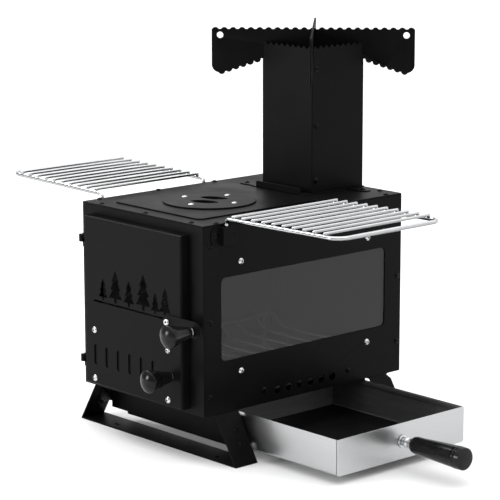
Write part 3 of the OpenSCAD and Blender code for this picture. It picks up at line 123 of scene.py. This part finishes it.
def brushed_group():
    """Brushed metal: a noise drawn out into lines by a scale for each axis, and a slow stain mask."""
    tree, gin, gout = new_group(
        "brushed",
        [("Along X", 6.0), ("Along Y", 6.0), ("Along Z", 900.0)],
        [("Line", "NodeSocketFloat"), ("Stain", "NodeSocketFloat")],
    )
    link = tree.links.new
    place = add(tree, "ShaderNodeTexCoord")
    scale = add(tree, "ShaderNodeCombineXYZ")
    stretch = add(tree, "ShaderNodeVectorMath", operation="MULTIPLY")
    line = add(tree, "ShaderNodeTexNoise", Scale=1.0, Detail=3.0, Roughness=0.7)
    stain = add(tree, "ShaderNodeTexNoise", Scale=16.0, Detail=4.0, Roughness=0.5)
    for axis in "XYZ":
        link(gin.outputs["Along " + axis], scale.inputs[axis])
    link(place.outputs["Object"], stretch.inputs[0])
    link(scale.outputs["Vector"], stretch.inputs[1])
    link(stretch.outputs["Vector"], line.inputs["Vector"])
    link(place.outputs["Object"], stain.inputs["Vector"])
    link(line.outputs["Fac"], gout.inputs["Line"])
    link(stain.outputs["Fac"], gout.inputs["Stain"])
    return tree


def blank_material(name):
    """A material with one Principled BSDF, and its tree and shader."""
    material = bpy.data.materials.new(name)
    material.use_nodes = True
    tree = material.node_tree
    return material, tree, tree.nodes["Principled BSDF"]


def bump(tree, shader, height, strength, distance):
    """Feeds a height into the shader's normal."""
    node = add(tree, "ShaderNodeBump", Strength=strength, Distance=distance)
    tree.links.new(height, node.inputs["Height"])
    tree.links.new(node.outputs["Normal"], shader.inputs["Normal"])


COAT_GRAIN = coat_grain_group()
BRUSHED = brushed_group()


def coat_grain(tree, pebble, cloud):
    """A node of the powder coat group, with the scales of its pebbles and clouds."""
    node = add(tree, "ShaderNodeGroup", node_tree=COAT_GRAIN)
    node.inputs["Pebble Scale"].default_value = pebble
    node.inputs["Cloud Scale"].default_value = cloud
    return node


def black_coat(name="black_coat", rough=(0.36, 0.48), tone=(0.0028, 0.0046), gloss=0.048):
    """Heat-proof satin black powder coat whose grey drifts between two tones, with a little dust."""
    material, tree, shader = blank_material(name)
    grain = coat_grain(tree, 1100.0, 16.0)
    base = ramp(tree, grain.outputs["Cloud"], (tone[0],) * 3, (tone[1],) * 3)
    dusty = add(tree, "ShaderNodeMix", data_type="RGBA")
    dusty.inputs["B"].default_value = (0.09, 0.09, 0.095, 1.0)
    tree.links.new(grain.outputs["Dust"], dusty.inputs["Factor"])
    tree.links.new(base, dusty.inputs["A"])
    tree.links.new(dusty.outputs["Result"], shader.inputs["Base Color"])
    tree.links.new(ramp(tree, grain.outputs["Cloud"], rough[0], rough[1]), shader.inputs["Roughness"])
    shader.inputs["Specular IOR Level"].default_value = gloss
    bump(tree, shader, grain.outputs["Height"], 0.25, 0.00006)
    return material


def brushed_steel(name, along, pale, rough, metal=1.0, shade=0.82):
    """Sheet or wire steel with fine lines.

    Along gives the scale of the lines on the three axes, and shade their tone as a share of the pale one.
    """
    material, tree, shader = blank_material(name)
    lines = add(tree, "ShaderNodeGroup", node_tree=BRUSHED)
    for axis, value in zip("XYZ", along):
        lines.inputs["Along " + axis].default_value = value
    dark = tuple(shade * c for c in pale)
    tree.links.new(ramp(tree, lines.outputs["Line"], dark, pale, 0.35, 0.65), shader.inputs["Base Color"])
    tree.links.new(ramp(tree, lines.outputs["Stain"], rough[0], rough[1]), shader.inputs["Roughness"])
    shader.inputs["Metallic"].default_value = metal
    bump(tree, shader, lines.outputs["Line"], 0.04, 0.00003)
    return material


def bright_plate(name, pale, rough=(0.08, 0.2), under=1.0):
    """Smooth bright plating with faint clouds.

    Its hollows get painted shade from ambient occlusion, and its underside gets painted shade: the share
    under of its brightness.
    """
    material, tree, shader = blank_material(name)
    grain = coat_grain(tree, 700.0, 60.0)
    dark = tuple(0.86 * c for c in pale)
    # Painted shade: ambient occlusion mixes the colour towards dark grey in hollows and sockets.
    hollow_shade = add(tree, "ShaderNodeAmbientOcclusion", Distance=1.5 * MM)
    tint = add(tree, "ShaderNodeMix", data_type="RGBA")
    tint.inputs["A"].default_value = (0.03, 0.03, 0.03, 1.0)
    tree.links.new(ramp(tree, hollow_shade.outputs["AO"], 0.0, 1.0, 0.55, 0.95), tint.inputs["Factor"])
    # Painted shade: faces that point down keep only the share under of the colour.
    place = add(tree, "ShaderNodeTexCoord")
    facing = add(tree, "ShaderNodeSeparateXYZ")
    underside_shade = add(tree, "ShaderNodeVectorMath", operation="SCALE")
    tree.links.new(place.outputs["Normal"], facing.inputs["Vector"])
    tree.links.new(ramp(tree, grain.outputs["Cloud"], dark, pale), underside_shade.inputs["Vector"])
    tree.links.new(ramp(tree, facing.outputs["Z"], under, 1.0, -0.5, 0.2), underside_shade.inputs["Scale"])
    tree.links.new(underside_shade.outputs["Vector"], tint.inputs["B"])
    tree.links.new(tint.outputs["Result"], shader.inputs["Base Color"])
    tree.links.new(ramp(tree, grain.outputs["Cloud"], rough[0], rough[1]), shader.inputs["Roughness"])
    shader.inputs["Metallic"].default_value = 1.0
    bump(tree, shader, grain.outputs["Height"], 0.05, 0.00003)
    return material


def bakelite():
    """Glossy black bakelite with a fine grain, whose tone and gloss drift a little."""
    material, tree, shader = blank_material("bakelite")
    grain = coat_grain(tree, 420.0, 40.0)
    tone = ramp(tree, grain.outputs["Cloud"], (0.004,) * 3, (0.009,) * 3)
    tree.links.new(tone, shader.inputs["Base Color"])
    tree.links.new(ramp(tree, grain.outputs["Cloud"], 0.14, 0.22), shader.inputs["Roughness"])
    shader.inputs["Specular IOR Level"].default_value = 0.16
    bump(tree, shader, grain.outputs["Height"], 0.06, 0.00004)
    return material


def tinted_glass(name, clear, smoky):
    """Heat-proof glass whose tint drifts between two greys, and whose face is slightly rough in places."""
    material, tree, shader = blank_material(name)
    grain = coat_grain(tree, 900.0, 9.0)
    tint = ramp(tree, grain.outputs["Cloud"], (smoky,) * 3, (clear,) * 3)
    tree.links.new(tint, shader.inputs["Base Color"])
    tree.links.new(ramp(tree, grain.outputs["Cloud"], 0.0, 0.05), shader.inputs["Roughness"])
    shader.inputs["Transmission Weight"].default_value = 1.0
    shader.inputs["IOR"].default_value = 1.38
    return material


SHEET_LINES = (8.0, 8.0, 900.0)
TRAY_LINES = (30.0, 30.0, 260.0)
FLOOR_LINES = (60.0, 60.0, 60.0)
GRATE_LINES = (900.0, 30.0, 900.0)
MATERIALS = {
    "black_coat": black_coat(),
    "black_screw": black_coat("black_screw", (0.2, 0.3), (0.001, 0.002), 0.09),
    "grip_cap": black_coat("grip_cap", (0.42, 0.5), (0.02, 0.03)),
    "bare_sheet": brushed_steel("bare_sheet", SHEET_LINES, (0.52, 0.525, 0.53), (0.29, 0.33), shade=0.95),
    "grate_steel": brushed_steel("grate_steel", GRATE_LINES, (0.62, 0.62, 0.63), (0.3, 0.5)),
    # Painted shade: darker copies of the sheet for the drawer's inner walls, its back wall and its near black
    # floor.
    "painted_shade_side": brushed_steel("painted_shade_side", TRAY_LINES, (0.13, 0.13, 0.133), (0.3, 0.45), 0.4),
    "painted_shade_back": brushed_steel("painted_shade_back", TRAY_LINES, (0.3, 0.3, 0.305), (0.3, 0.45), 0.5),
    "painted_shade_floor": brushed_steel("painted_shade_floor", FLOOR_LINES, (0.007, 0.007, 0.0075), (0.45, 0.65), 0.75),
    # Both bright platings get painted shade in their hollows; the wire also gets painted shade on its
    # undersides.
    "bright_wire": bright_plate("bright_wire", (0.62, 0.625, 0.635), under=0.35),
    "zinc": bright_plate("zinc", (0.62, 0.63, 0.645), (0.16, 0.3)),
    "oven_glass": tinted_glass("oven_glass", 0.13, 0.11),
    # Near black glass: painted shade for the dark firebox seen through the other window.
    "painted_shade_glass": tinted_glass("painted_shade_glass", 0.006, 0.002),
    "bakelite": bakelite(),
}


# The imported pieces

SLOT_OF = {part["node"]: part["material_slot"] for part in frame["record"]["subparts"]}
WELD_GAP = 0.002 * MM
FLAT_ANGLE = math.radians(0.6)
EDGE_ANGLE = math.radians(32)
SOFT_EDGE = {
    "black_coat": 0.5 * MM,
    "bare_sheet": 0.3 * MM,
    "zinc": 0.2 * MM,
    "oven_glass": 0.4 * MM,
    "black_screw": 0.15 * MM,
}


def paint(obj, material):
    """Gives every slot of an object one material."""
    obj.data.materials.clear()
    obj.data.materials.append(material)


def soften(obj, width):
    """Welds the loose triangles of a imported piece, clears flat faces and rounds its sharp edges."""
    weld = obj.modifiers.new("weld", "WELD")
    weld.merge_threshold = WELD_GAP
    flat = obj.modifiers.new("flat", "DECIMATE")
    flat.decimate_type = "DISSOLVE"
    flat.angle_limit = FLAT_ANGLE
    edge = obj.modifiers.new("edge", "BEVEL")
    edge.width = width
    edge.segments = 2
    edge.limit_method = "ANGLE"
    edge.angle_limit = EDGE_ANGLE
    edge.use_clamp_overlap = False
    edge.harden_normals = True


for node_name, node_obj in NODES.items():
    look = SLOT_OF[node_name]
    if look == "black_coat" and node_name.endswith("_screws"):
        look = "black_screw"
    # The left glass takes the near black glass, as painted shade.
    if node_name == "left_glass":
        look = "painted_shade_glass"
    paint(node_obj, MATERIALS[look])
    if look in SOFT_EDGE:
        soften(node_obj, SOFT_EDGE[look])


# Computed surfaces

# Lengths are millimetres from the middle of the firebox. This brings them to the middle of the shared frame.
SHIFT = np.array([-36.7889, 6.1816, 0.0])
RIGHT = np.array([1.0, 0.0, 0.0])
FRONT = np.array([0.0, -1.0, 0.0])
UP = np.array([0.0, 0.0, 1.0])


def new_piece(name, parts, material, body, stands_for, inner=()):
    """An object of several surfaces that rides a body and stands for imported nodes.

    Points are millimetres from the middle of the firebox; they become metres in the shared frame. Each part
    is (points, faces) or (points, faces, places), where places count each face's material in
    (material, *inner).
    """
    starts = np.cumsum([0] + [len(part[0]) for part in parts[:-1]]).tolist()
    points = (np.concatenate([part[0] for part in parts]) + SHIFT) * MM
    faces = [[corner + start for corner in face] for part, start in zip(parts, starts) for face in part[1]]
    mesh = bpy.data.meshes.new(name)
    mesh.from_pydata(points.tolist(), [], faces)
    mesh.polygons.foreach_set("use_smooth", [True] * len(mesh.polygons))
    mesh.materials.append(MATERIALS[material])
    for other in inner:
        mesh.materials.append(MATERIALS[other])
    if inner:
        mesh.polygons.foreach_set("material_index", [place for part in parts for place in part[2]])
    mesh.update()
    obj = bpy.data.objects.new(name, mesh)
    bpy.context.scene.collection.objects.link(obj)
    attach(obj, body)
    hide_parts(*stands_for)
    return obj


def grid_faces(rows, columns):
    """Four-sided faces between neighbouring rows of a grid whose last column joins its first."""
    row = np.arange(rows - 1)[:, None] * columns
    column = np.arange(columns)[None, :]
    after = (column + 1) % columns
    corners = [row + column, row + after, row + columns + after, row + columns + column]
    return np.stack(np.broadcast_arrays(*corners), axis=-1).reshape(-1, 4)


def capped(rings):
    """Points and faces of a stack of rings, closed by one face at each end."""
    rows, columns = rings.shape[:2]
    last = (rows - 1) * columns
    ends = [list(range(columns))[::-1], list(range(last, last + columns))]
    return rings.reshape(-1, 3), grid_faces(rows, columns).tolist() + ends


def smooth_profile(knots, count):
    """A profile of (along, radius) through its knots: cubic Hermite pieces over the chord length.

    The slope at a knot is the mean of the slopes on its two sides.
    """
    knots = np.asarray(knots, float)
    length = np.concatenate([[0], np.cumsum(np.linalg.norm(np.diff(knots, axis=0), axis=1))])
    secant = np.diff(knots, axis=0) / np.diff(length)[:, None]
    slope = np.concatenate([secant[:1], (secant[1:] + secant[:-1]) / 2, secant[-1:]])
    place = np.linspace(0, length[-1], count)
    cell = np.clip(np.searchsorted(length, place, side="right") - 1, 0, len(knots) - 2)
    width = np.diff(length)[cell][:, None]
    u = (place - length[cell])[:, None] / width
    ends = knots[cell] * (2 * u**3 - 3 * u**2 + 1) + knots[cell + 1] * (3 * u**2 - 2 * u**3)
    return ends + width * (slope[cell] * (u**3 - 2 * u**2 + u) + slope[cell + 1] * (u**3 - u**2))


def turned(profile, start, axis, side, sides=64):
    """A turned surface: start + along * axis + radius * (cos a * side + sin a * (axis x side)).

    The angle a goes over a full turn.
    """
    along, radius = np.asarray(profile, float).T[:, :, None, None]
    angle = np.linspace(0, TAU, sides, endpoint=False)
    spoke = np.cos(angle)[:, None] * side + np.sin(angle)[:, None] * np.cross(axis, side)
    return capped(np.asarray(start, float) + along * axis + radius * spoke)


END_TURNS = np.radians([84, 60, 32])
LEAN = np.array([0.53, -0.61, 0.59])


def tube(path, radius, sides=16):
    """A round wire along a path with rounded ends.

    Each ring lies square to the path: its first axis is a fixed leaning direction made square to the path,
    the second the cross product of the path and the first. Three more rings at each end follow a quarter
    circle.
    """
    path = np.asarray(path, float)
    along = np.gradient(path, axis=0)
    along /= np.linalg.norm(along, axis=1)[:, None]
    reach = (radius * np.sin(END_TURNS))[:, None]
    centre = np.concatenate([path[0] - reach * along[0], path, path[-1] + reach[::-1] * along[-1]])
    scale = radius * np.concatenate([np.cos(END_TURNS), np.ones(len(path)), np.cos(END_TURNS)[::-1]])
    extra = (len(END_TURNS), 1)
    heading = np.concatenate([np.tile(along[0], extra), along, np.tile(along[-1], extra)])
    first = LEAN - (heading @ LEAN)[:, None] * heading
    first /= np.linalg.norm(first, axis=1)[:, None]
    second = np.cross(heading, first)
    angle = np.linspace(0, TAU, sides, endpoint=False)[None, :, None]
    circle = np.cos(angle) * first[:, None] + np.sin(angle) * second[:, None]
    return capped(centre[:, None] + scale[:, None, None] * circle)


def bend(centre, radius, start, end, first, second, count):
    """Points of a bend: centre + radius * (cos a * first + sin a * second), a from start to end degrees."""
    angle = np.radians(np.linspace(start, end, count))[:, None]
    return np.asarray(centre, float) + radius * (np.cos(angle) * first + np.sin(angle) * second)


def sharpen(obj, degrees):
    """Shades an object smooth apart from edges sharper than that angle."""
    obj.data.set_sharp_from_angle(angle=math.radians(degrees))


# Grips and post

DOOR_FACE_Y = -173.0
VENT_GRIP = (67.1, DOOR_FACE_Y - 2.6, 99.7)
LATCH_GRIP = (106.4, DOOR_FACE_Y - 5.6, 160.0)
DRAWER_FACE = np.array([270.7, 0.0, 32.2])
POST_L = 17.3
# Profiles are (along, radius) in millimetres.
DOOR_GRIP_PROFILE = [
    (0, 0.02), (0, 5.4), (0.5, 6.2), (3, 6.75), (12, 8.6), (20, 10.6), (26, 12.3), (30.5, 13.35),
    (32.6, 13.55), (33.8, 13.0), (34.85, 11.6), (36.35, 9.0), (37.75, 5.3), (38.28, 2.6), (38.45, 0.02),
]
DRAWER_GRIP_PROFILE = [
    (0, 0.02), (0, 6.4), (0.7, 7.4), (2.6, 9.2), (4.2, 9.7), (16, 10.3), (34, 11.3), (52, 12.2),
    (66, 12.8), (70.6, 12.95), (71.0, 12.6), (71.4, 12.95), (77, 13.0), (79.2, 12.9),
]
DRAWER_CAP_PROFILE = [
    (79.0, 0.02), (79.0, 12.4), (79.2, 12.8), (80.2, 12.2), (81.5, 10.4), (82.4, 7.6), (82.85, 4.2),
    (83.0, 0.02),
]
DRAWER_POST_PROFILE = [
    (-3.6, 0.02), (-3.6, 3.9), (-1.0, 3.9), (-1.0, 2.1), (0.02, 2.1), (0.02, 7.3), (0.3, 7.5),
    (1.7, 7.5), (2.1, 7.1), (2.2, 4.6), (4.2, 4.4), (6.0, 4.7), (6.8, 5.8), (8.0, 6.5), (9.4, 6.5),
    (10.4, 5.7), (11.2, 4.7), (13.4, 4.4), (14.3, 4.6), (14.4, 6.2), (14.7, 6.5), (17.0, 6.5),
    (17.3, 6.2), (17.3, 0.02),
]
DOOR_GRIP_ROWS = 120
DRAWER_GRIP_ROWS = 140
DRAWER_CAP_ROWS = 50
# Edges sharper than this many degrees stay sharp.
GRIP_SHARP = 50
POST_SHARP = 28


def grips():
    """The turned grips of the air slide, the latch and the drawer, and the turned post of the drawer."""
    door_profile = smooth_profile(DOOR_GRIP_PROFILE, DOOR_GRIP_ROWS)
    for name, place, body, node in (
        ("vent_grip_turned", VENT_GRIP, "vent", "vent_grip"),
        ("latch_grip_turned", LATCH_GRIP, "latch", "latch_grip"),
    ):
        grip = new_piece(name, [turned(door_profile, place, FRONT, RIGHT)], "bakelite", body, [node])
        sharpen(grip, GRIP_SHARP)
    start = DRAWER_FACE + POST_L * RIGHT
    grip_points, grip_faces = turned(smooth_profile(DRAWER_GRIP_PROFILE, DRAWER_GRIP_ROWS), start, RIGHT, UP)
    cap_points, cap_faces = turned(smooth_profile(DRAWER_CAP_PROFILE, DRAWER_CAP_ROWS), start, RIGHT, UP)
    parts = [(grip_points, grip_faces, [0] * len(grip_faces)), (cap_points, cap_faces, [1] * len(cap_faces))]
    grip = new_piece("drawer_grip_turned", parts, "bakelite", "drawer", ["drawer_grip"], ["grip_cap"])
    sharpen(grip, GRIP_SHARP)
    post = turned(DRAWER_POST_PROFILE, DRAWER_FACE, RIGHT, UP)
    sharpen(new_piece("drawer_post_turned", [post], "zinc", "drawer", ["drawer_post"]), POST_SHARP)


# Racks

RACK_CORNER = np.array([112.95, -128.5, 285.0])
RACK_W = 162.5
RACK_L = 182.0
RACK_TILT = math.radians(1.0)
RACK_DROP = 28.2
BEND_R = 6.0
CORNER_R = 14.0
WIRE_R = 2.5
ROD_R = 1.8
ROD_START = 12.4
ROD_PITCH = 16.6
ROD_N = 10
ROD_SINK = 0.25
ROD_BOW = 0.15
ROD_BOW_TURN = 2.4
ROD_PAST_WIRE = 0.6
WIRE_SIDES = 20
BEAD_SIDES = 10
BEAD_DROP = 1.5
BEAD_PROFILE = [(-2.7, 0.05), (-2.4, 0.8), (-1.5, 1.35), (0, 1.6), (1.5, 1.35), (2.4, 0.8), (2.7, 0.05)]
# The straight runs of the frame wire end this far before its bends and its corners.
BEND_GAP = 0.6
CORNER_GAP = 0.8


def rack_frame_path():
    """The frame wire: up out of one bracket, out, round two corners, back and down into the other bracket."""
    corner = RACK_L - CORNER_R
    near = np.concatenate(
        [
            np.linspace([0, 0, -RACK_DROP + WIRE_R], [0, 0, -BEND_R - BEND_GAP], 5),
            bend([BEND_R, 0, -BEND_R], BEND_R, 180, 90, RIGHT, UP, 12),
            np.linspace([BEND_R + BEND_GAP, 0, 0], [corner - CORNER_GAP, 0, 0], 24),
            bend([corner, CORNER_R, 0], CORNER_R, -90, 0, RIGHT, -FRONT, 16),
        ]
    )
    far = near[::-1] * np.array([1, -1, 1]) - RACK_W * FRONT
    side = CORNER_R + CORNER_GAP
    middle = np.linspace([RACK_L, side, 0], [RACK_L, RACK_W - side, 0], 16)
    return np.concatenate([near, middle, far])


def rods():
    """Ten rods laid across the side wires, each with a slight bow, and a flat weld bead at each end."""
    parts = []
    lie = np.linspace(0, 1, 30)[:, None]
    across = lie * (RACK_W + 2 * ROD_PAST_WIRE) - ROD_PAST_WIRE
    for i in range(ROD_N):
        foot = (ROD_START + i * ROD_PITCH) * RIGHT + (WIRE_R + ROD_R - ROD_SINK) * UP
        bow = ROD_BOW * math.sin(i * ROD_BOW_TURN)
        parts.append(tube(foot - across * FRONT + bow * np.sin(math.pi * lie) * UP, ROD_R))
        for y in (0.0, RACK_W):
            parts.append(turned(BEAD_PROFILE, foot - y * FRONT - BEAD_DROP * UP, RIGHT, UP, BEAD_SIDES))
    return parts


def racks():
    """Both racks, tilted about their inner edge; the left one is the mirror image of the right one."""
    c, s = math.cos(RACK_TILT), math.sin(RACK_TILT)
    tilt = np.array([[c, 0, -s], [0, 1, 0], [s, 0, c]])
    flat = [tube(rack_frame_path(), WIRE_R, WIRE_SIDES)] + rods()
    right = [(points @ tilt.T + RACK_CORNER, faces) for points, faces in flat]
    left = [(points * np.array([-1, 1, 1]), [face[::-1] for face in faces]) for points, faces in right]
    new_piece("right_rack_wires", right, "bright_wire", "right_rack", ["right_rack"])
    new_piece("left_rack_wires", left, "bright_wire", "left_rack", ["left_rack"])


# Ash drawer

DRAWER_ENDS = (49.7, 270.7)
DRAWER_HALF_W = 103.8
DRAWER_LOW = 10.8
DRAWER_HIGH = 53.6
DRAWER_T = 1.0
DRAWER_BEND_R = 4.0
HEM_H = 5.0
HEM_T = 0.9
DRAWER_EDGE = 0.22 * MM
# The gap between two sheets that lie side by side.
SEAM = 0.9
# Steps of a bend in a section, and those of a bend of the U that count as wall and not as floor.
BEND_STEPS = 8
WALL_STEPS = 5
# PLAIN is the sheet; SIDE, FLOOR and BACK are its darker copies, which are painted shade.
PLAIN, SIDE, FLOOR, BACK = range(4)


def u_outline(inset):
    """The U of side, bottom and side at an inset from the outside, as (y, z), with its two bends."""
    half = DRAWER_HALF_W - inset
    low = DRAWER_LOW + inset
    r = DRAWER_BEND_R - inset
    turn = np.radians(np.linspace(180, 270, BEND_STEPS + 1))[:, None]
    left = np.array([r - half, low + r]) + r * np.concatenate([np.cos(turn), np.sin(turn)], axis=1)
    left = np.concatenate([[[-half, DRAWER_HIGH]], left])
    return np.concatenate([left, left[::-1] * np.array([-1, 1])])


def hem(side):
    """The folded hem inside one side wall, as points and faces: a flat strip with a half round lower edge."""
    back, front = DRAWER_ENDS
    middle = DRAWER_HALF_W - DRAWER_T - SEAM - HEM_T / 2
    turn = np.radians(np.linspace(180, 360, BEND_STEPS + 1))
    edge = HEM_T / 2 * np.stack([np.cos(turn), np.sin(turn)], axis=1)
    top = DRAWER_HIGH - SEAM
    high = [[middle + HEM_T / 2, top], [middle - HEM_T / 2, top]]
    outline = np.concatenate([[middle, DRAWER_HIGH - HEM_H] + edge, high])
    if side < 0:
        outline = outline[::-1] * np.array([-1, 1])
    ends = (back + DRAWER_T + SEAM, front - DRAWER_T - SEAM)
    return capped(np.stack([np.column_stack([np.full(len(outline), x), outline]) for x in ends]))


def drawer():
    """The ash drawer: a bent U sheet with a front and a back plate set against it; its inside faces get
    painted shade.

    The loop of the U's section runs along its outside and back along its inside.
    """
    back, front = DRAWER_ENDS
    outer, inner = u_outline(0.0), u_outline(DRAWER_T)
    count = len(outer)
    loop = np.concatenate([outer, inner[::-1]])
    ends = (back + DRAWER_T + SEAM, front - DRAWER_T - SEAM)
    wrap = np.stack([np.column_stack([np.full(2 * count, x), loop]) for x in ends])
    step = np.arange(count - 1)
    strip = np.stack([step, step + 1, 2 * count - 2 - step, 2 * count - 1 - step], axis=1)
    faces = grid_faces(2, 2 * count).tolist() + strip[:, ::-1].tolist() + (strip + 2 * count).tolist()
    # Painted shade: the inner faces of the U, the plates' inner faces and the hems take the darker copies of
    # the sheet.
    wall = [SIDE] * (1 + WALL_STEPS)
    inside = wall + [FLOOR] * (count - 1 - 2 * len(wall)) + wall
    shade_places = [PLAIN] * count + inside + [PLAIN] * (1 + 2 * (count - 1))
    parts = [(wrap.reshape(-1, 3), faces, shade_places)]
    for x, end_looks in ((back, [PLAIN, BACK]), (front - DRAWER_T, [SIDE, PLAIN])):
        plate = np.stack([np.column_stack([np.full(count, v), outer]) for v in (x, x + DRAWER_T)])
        points, plate_faces = capped(plate)
        parts.append((points, plate_faces, [PLAIN] * (len(plate_faces) - 2) + end_looks))
    for side in (-1, 1):
        points, hem_faces = hem(side)
        parts.append((points, hem_faces, [SIDE] * len(hem_faces)))
    shade_looks = ["painted_shade_side", "painted_shade_floor", "painted_shade_back"]
    tray = new_piece("drawer_tray", parts, "bare_sheet", "drawer", ["ash_drawer"], shade_looks)
    soften(tray, DRAWER_EDGE)


grips()
racks()
drawer()


# Stage, light and camera

FLOOR_RINGS = np.array([0.4, 1.2, 3.0, 8.0, 20.0])
FLOOR_SIDES = 48
STOVE_MIDDLE = (0.0, 0.0, 0.2)
DOOR_MIDDLE = (0.0, -0.2, 0.15)
OVERHEAD_STRENGTH = 2.0
# Name, place, aim, size in metres and power in watts.
LIGHTS = [
    ("overhead", (0.2, -0.2, 2.6), STOVE_MIDDLE, 2.4, 6.0),
    ("key", (-1.6, -0.45, 1.75), STOVE_MIDDLE, 0.6, 14.0),
    ("glint", (-0.8, -1.9, 0.6), DOOR_MIDDLE, 0.55, 18.0),
]
PHOTO_PIXELS = 500.0
FOCAL_PIXELS = 2214.882
SENSOR_WIDTH = 36.0
CAMERA_RIGHT = (0.67118481, 0.74128851, -0.00151195)
CAMERA_UP = (-0.14760412, 0.13564341, 0.97970092)
CAMERA_AHEAD = (-0.72644612, 0.65733721, -0.20045903)
CAMERA_PLACE = (1.92767295, -1.76108846, 0.75541507)


def stage_floor():
    """A round pale floor: rings of points at growing radii, and one face between neighbours."""
    angle = np.linspace(0, TAU, FLOOR_SIDES, endpoint=False)
    flat = FLOOR_RINGS[:, None, None] * np.stack([np.cos(angle), np.sin(angle), 0 * angle], axis=-1)
    faces = grid_faces(len(FLOOR_RINGS), FLOOR_SIDES).tolist() + [list(range(FLOOR_SIDES))]
    mesh = bpy.data.meshes.new("floor")
    mesh.from_pydata(flat.reshape(-1, 3).tolist(), [], faces)
    floor = bpy.data.objects.new("floor", mesh)
    bpy.context.scene.collection.objects.link(floor)
    material, tree, shader = blank_material("floor_paper")
    shader.inputs["Base Color"].default_value = (0.87, 0.87, 0.87, 1.0)
    shader.inputs["Roughness"].default_value = 0.85
    shader.inputs["Specular IOR Level"].default_value = 0.1
    mesh.materials.append(material)


def soft_light(name, place, aim, size, power):
    """A square area light at place that points at aim."""
    data = bpy.data.lights.new(name, "AREA")
    data.size = size
    data.energy = power
    lamp = bpy.data.objects.new(name, data)
    lamp.location = place
    lamp.rotation_euler = (Vector(aim) - Vector(place)).to_track_quat("-Z", "Y").to_euler()
    bpy.context.scene.collection.objects.link(lamp)


def studio():
    """A white tent, brightest overhead, bright behind the stove and dim in front, with three soft lights."""
    world = bpy.data.worlds.new("studio")
    world.use_nodes = True
    tree = world.node_tree
    tree.nodes["Background"].inputs["Color"].default_value = (1.0, 1.0, 1.0, 1.0)
    place = add(tree, "ShaderNodeTexCoord")
    split = add(tree, "ShaderNodeSeparateXYZ")
    tree.links.new(place.outputs["Generated"], split.inputs["Vector"])
    around = ramp(tree, split.outputs["Y"], 0.35, 1.0, -0.25, 0.4)
    above = ramp(tree, split.outputs["Z"], 0.0, 1.0, 0.4, 0.85)
    level = add(tree, "ShaderNodeMix", B=OVERHEAD_STRENGTH)
    tree.links.new(above, level.inputs["Factor"])
    tree.links.new(around, level.inputs["A"])
    tree.links.new(level.outputs["Result"], tree.nodes["Background"].inputs["Strength"])
    bpy.context.scene.world = world
    for light in LIGHTS:
        soft_light(*light)


def photo_camera():
    """The camera that the perspective of the photograph gives, as a place and three axes."""
    data = bpy.data.cameras.new("camera")
    data.sensor_width = SENSOR_WIDTH
    data.lens = SENSOR_WIDTH * FOCAL_PIXELS / PHOTO_PIXELS
    data.clip_end = 50.0
    camera = bpy.data.objects.new("camera", data)
    axes = Matrix((CAMERA_RIGHT, CAMERA_UP, [-part for part in CAMERA_AHEAD]))
    camera.matrix_world = Matrix.Translation(CAMERA_PLACE) @ axes.transposed().to_4x4()
    bpy.context.scene.collection.objects.link(camera)
    bpy.context.scene.camera = camera
    bpy.context.scene.view_settings.view_transform = "Standard"


stage_floor()
studio()
photo_camera()
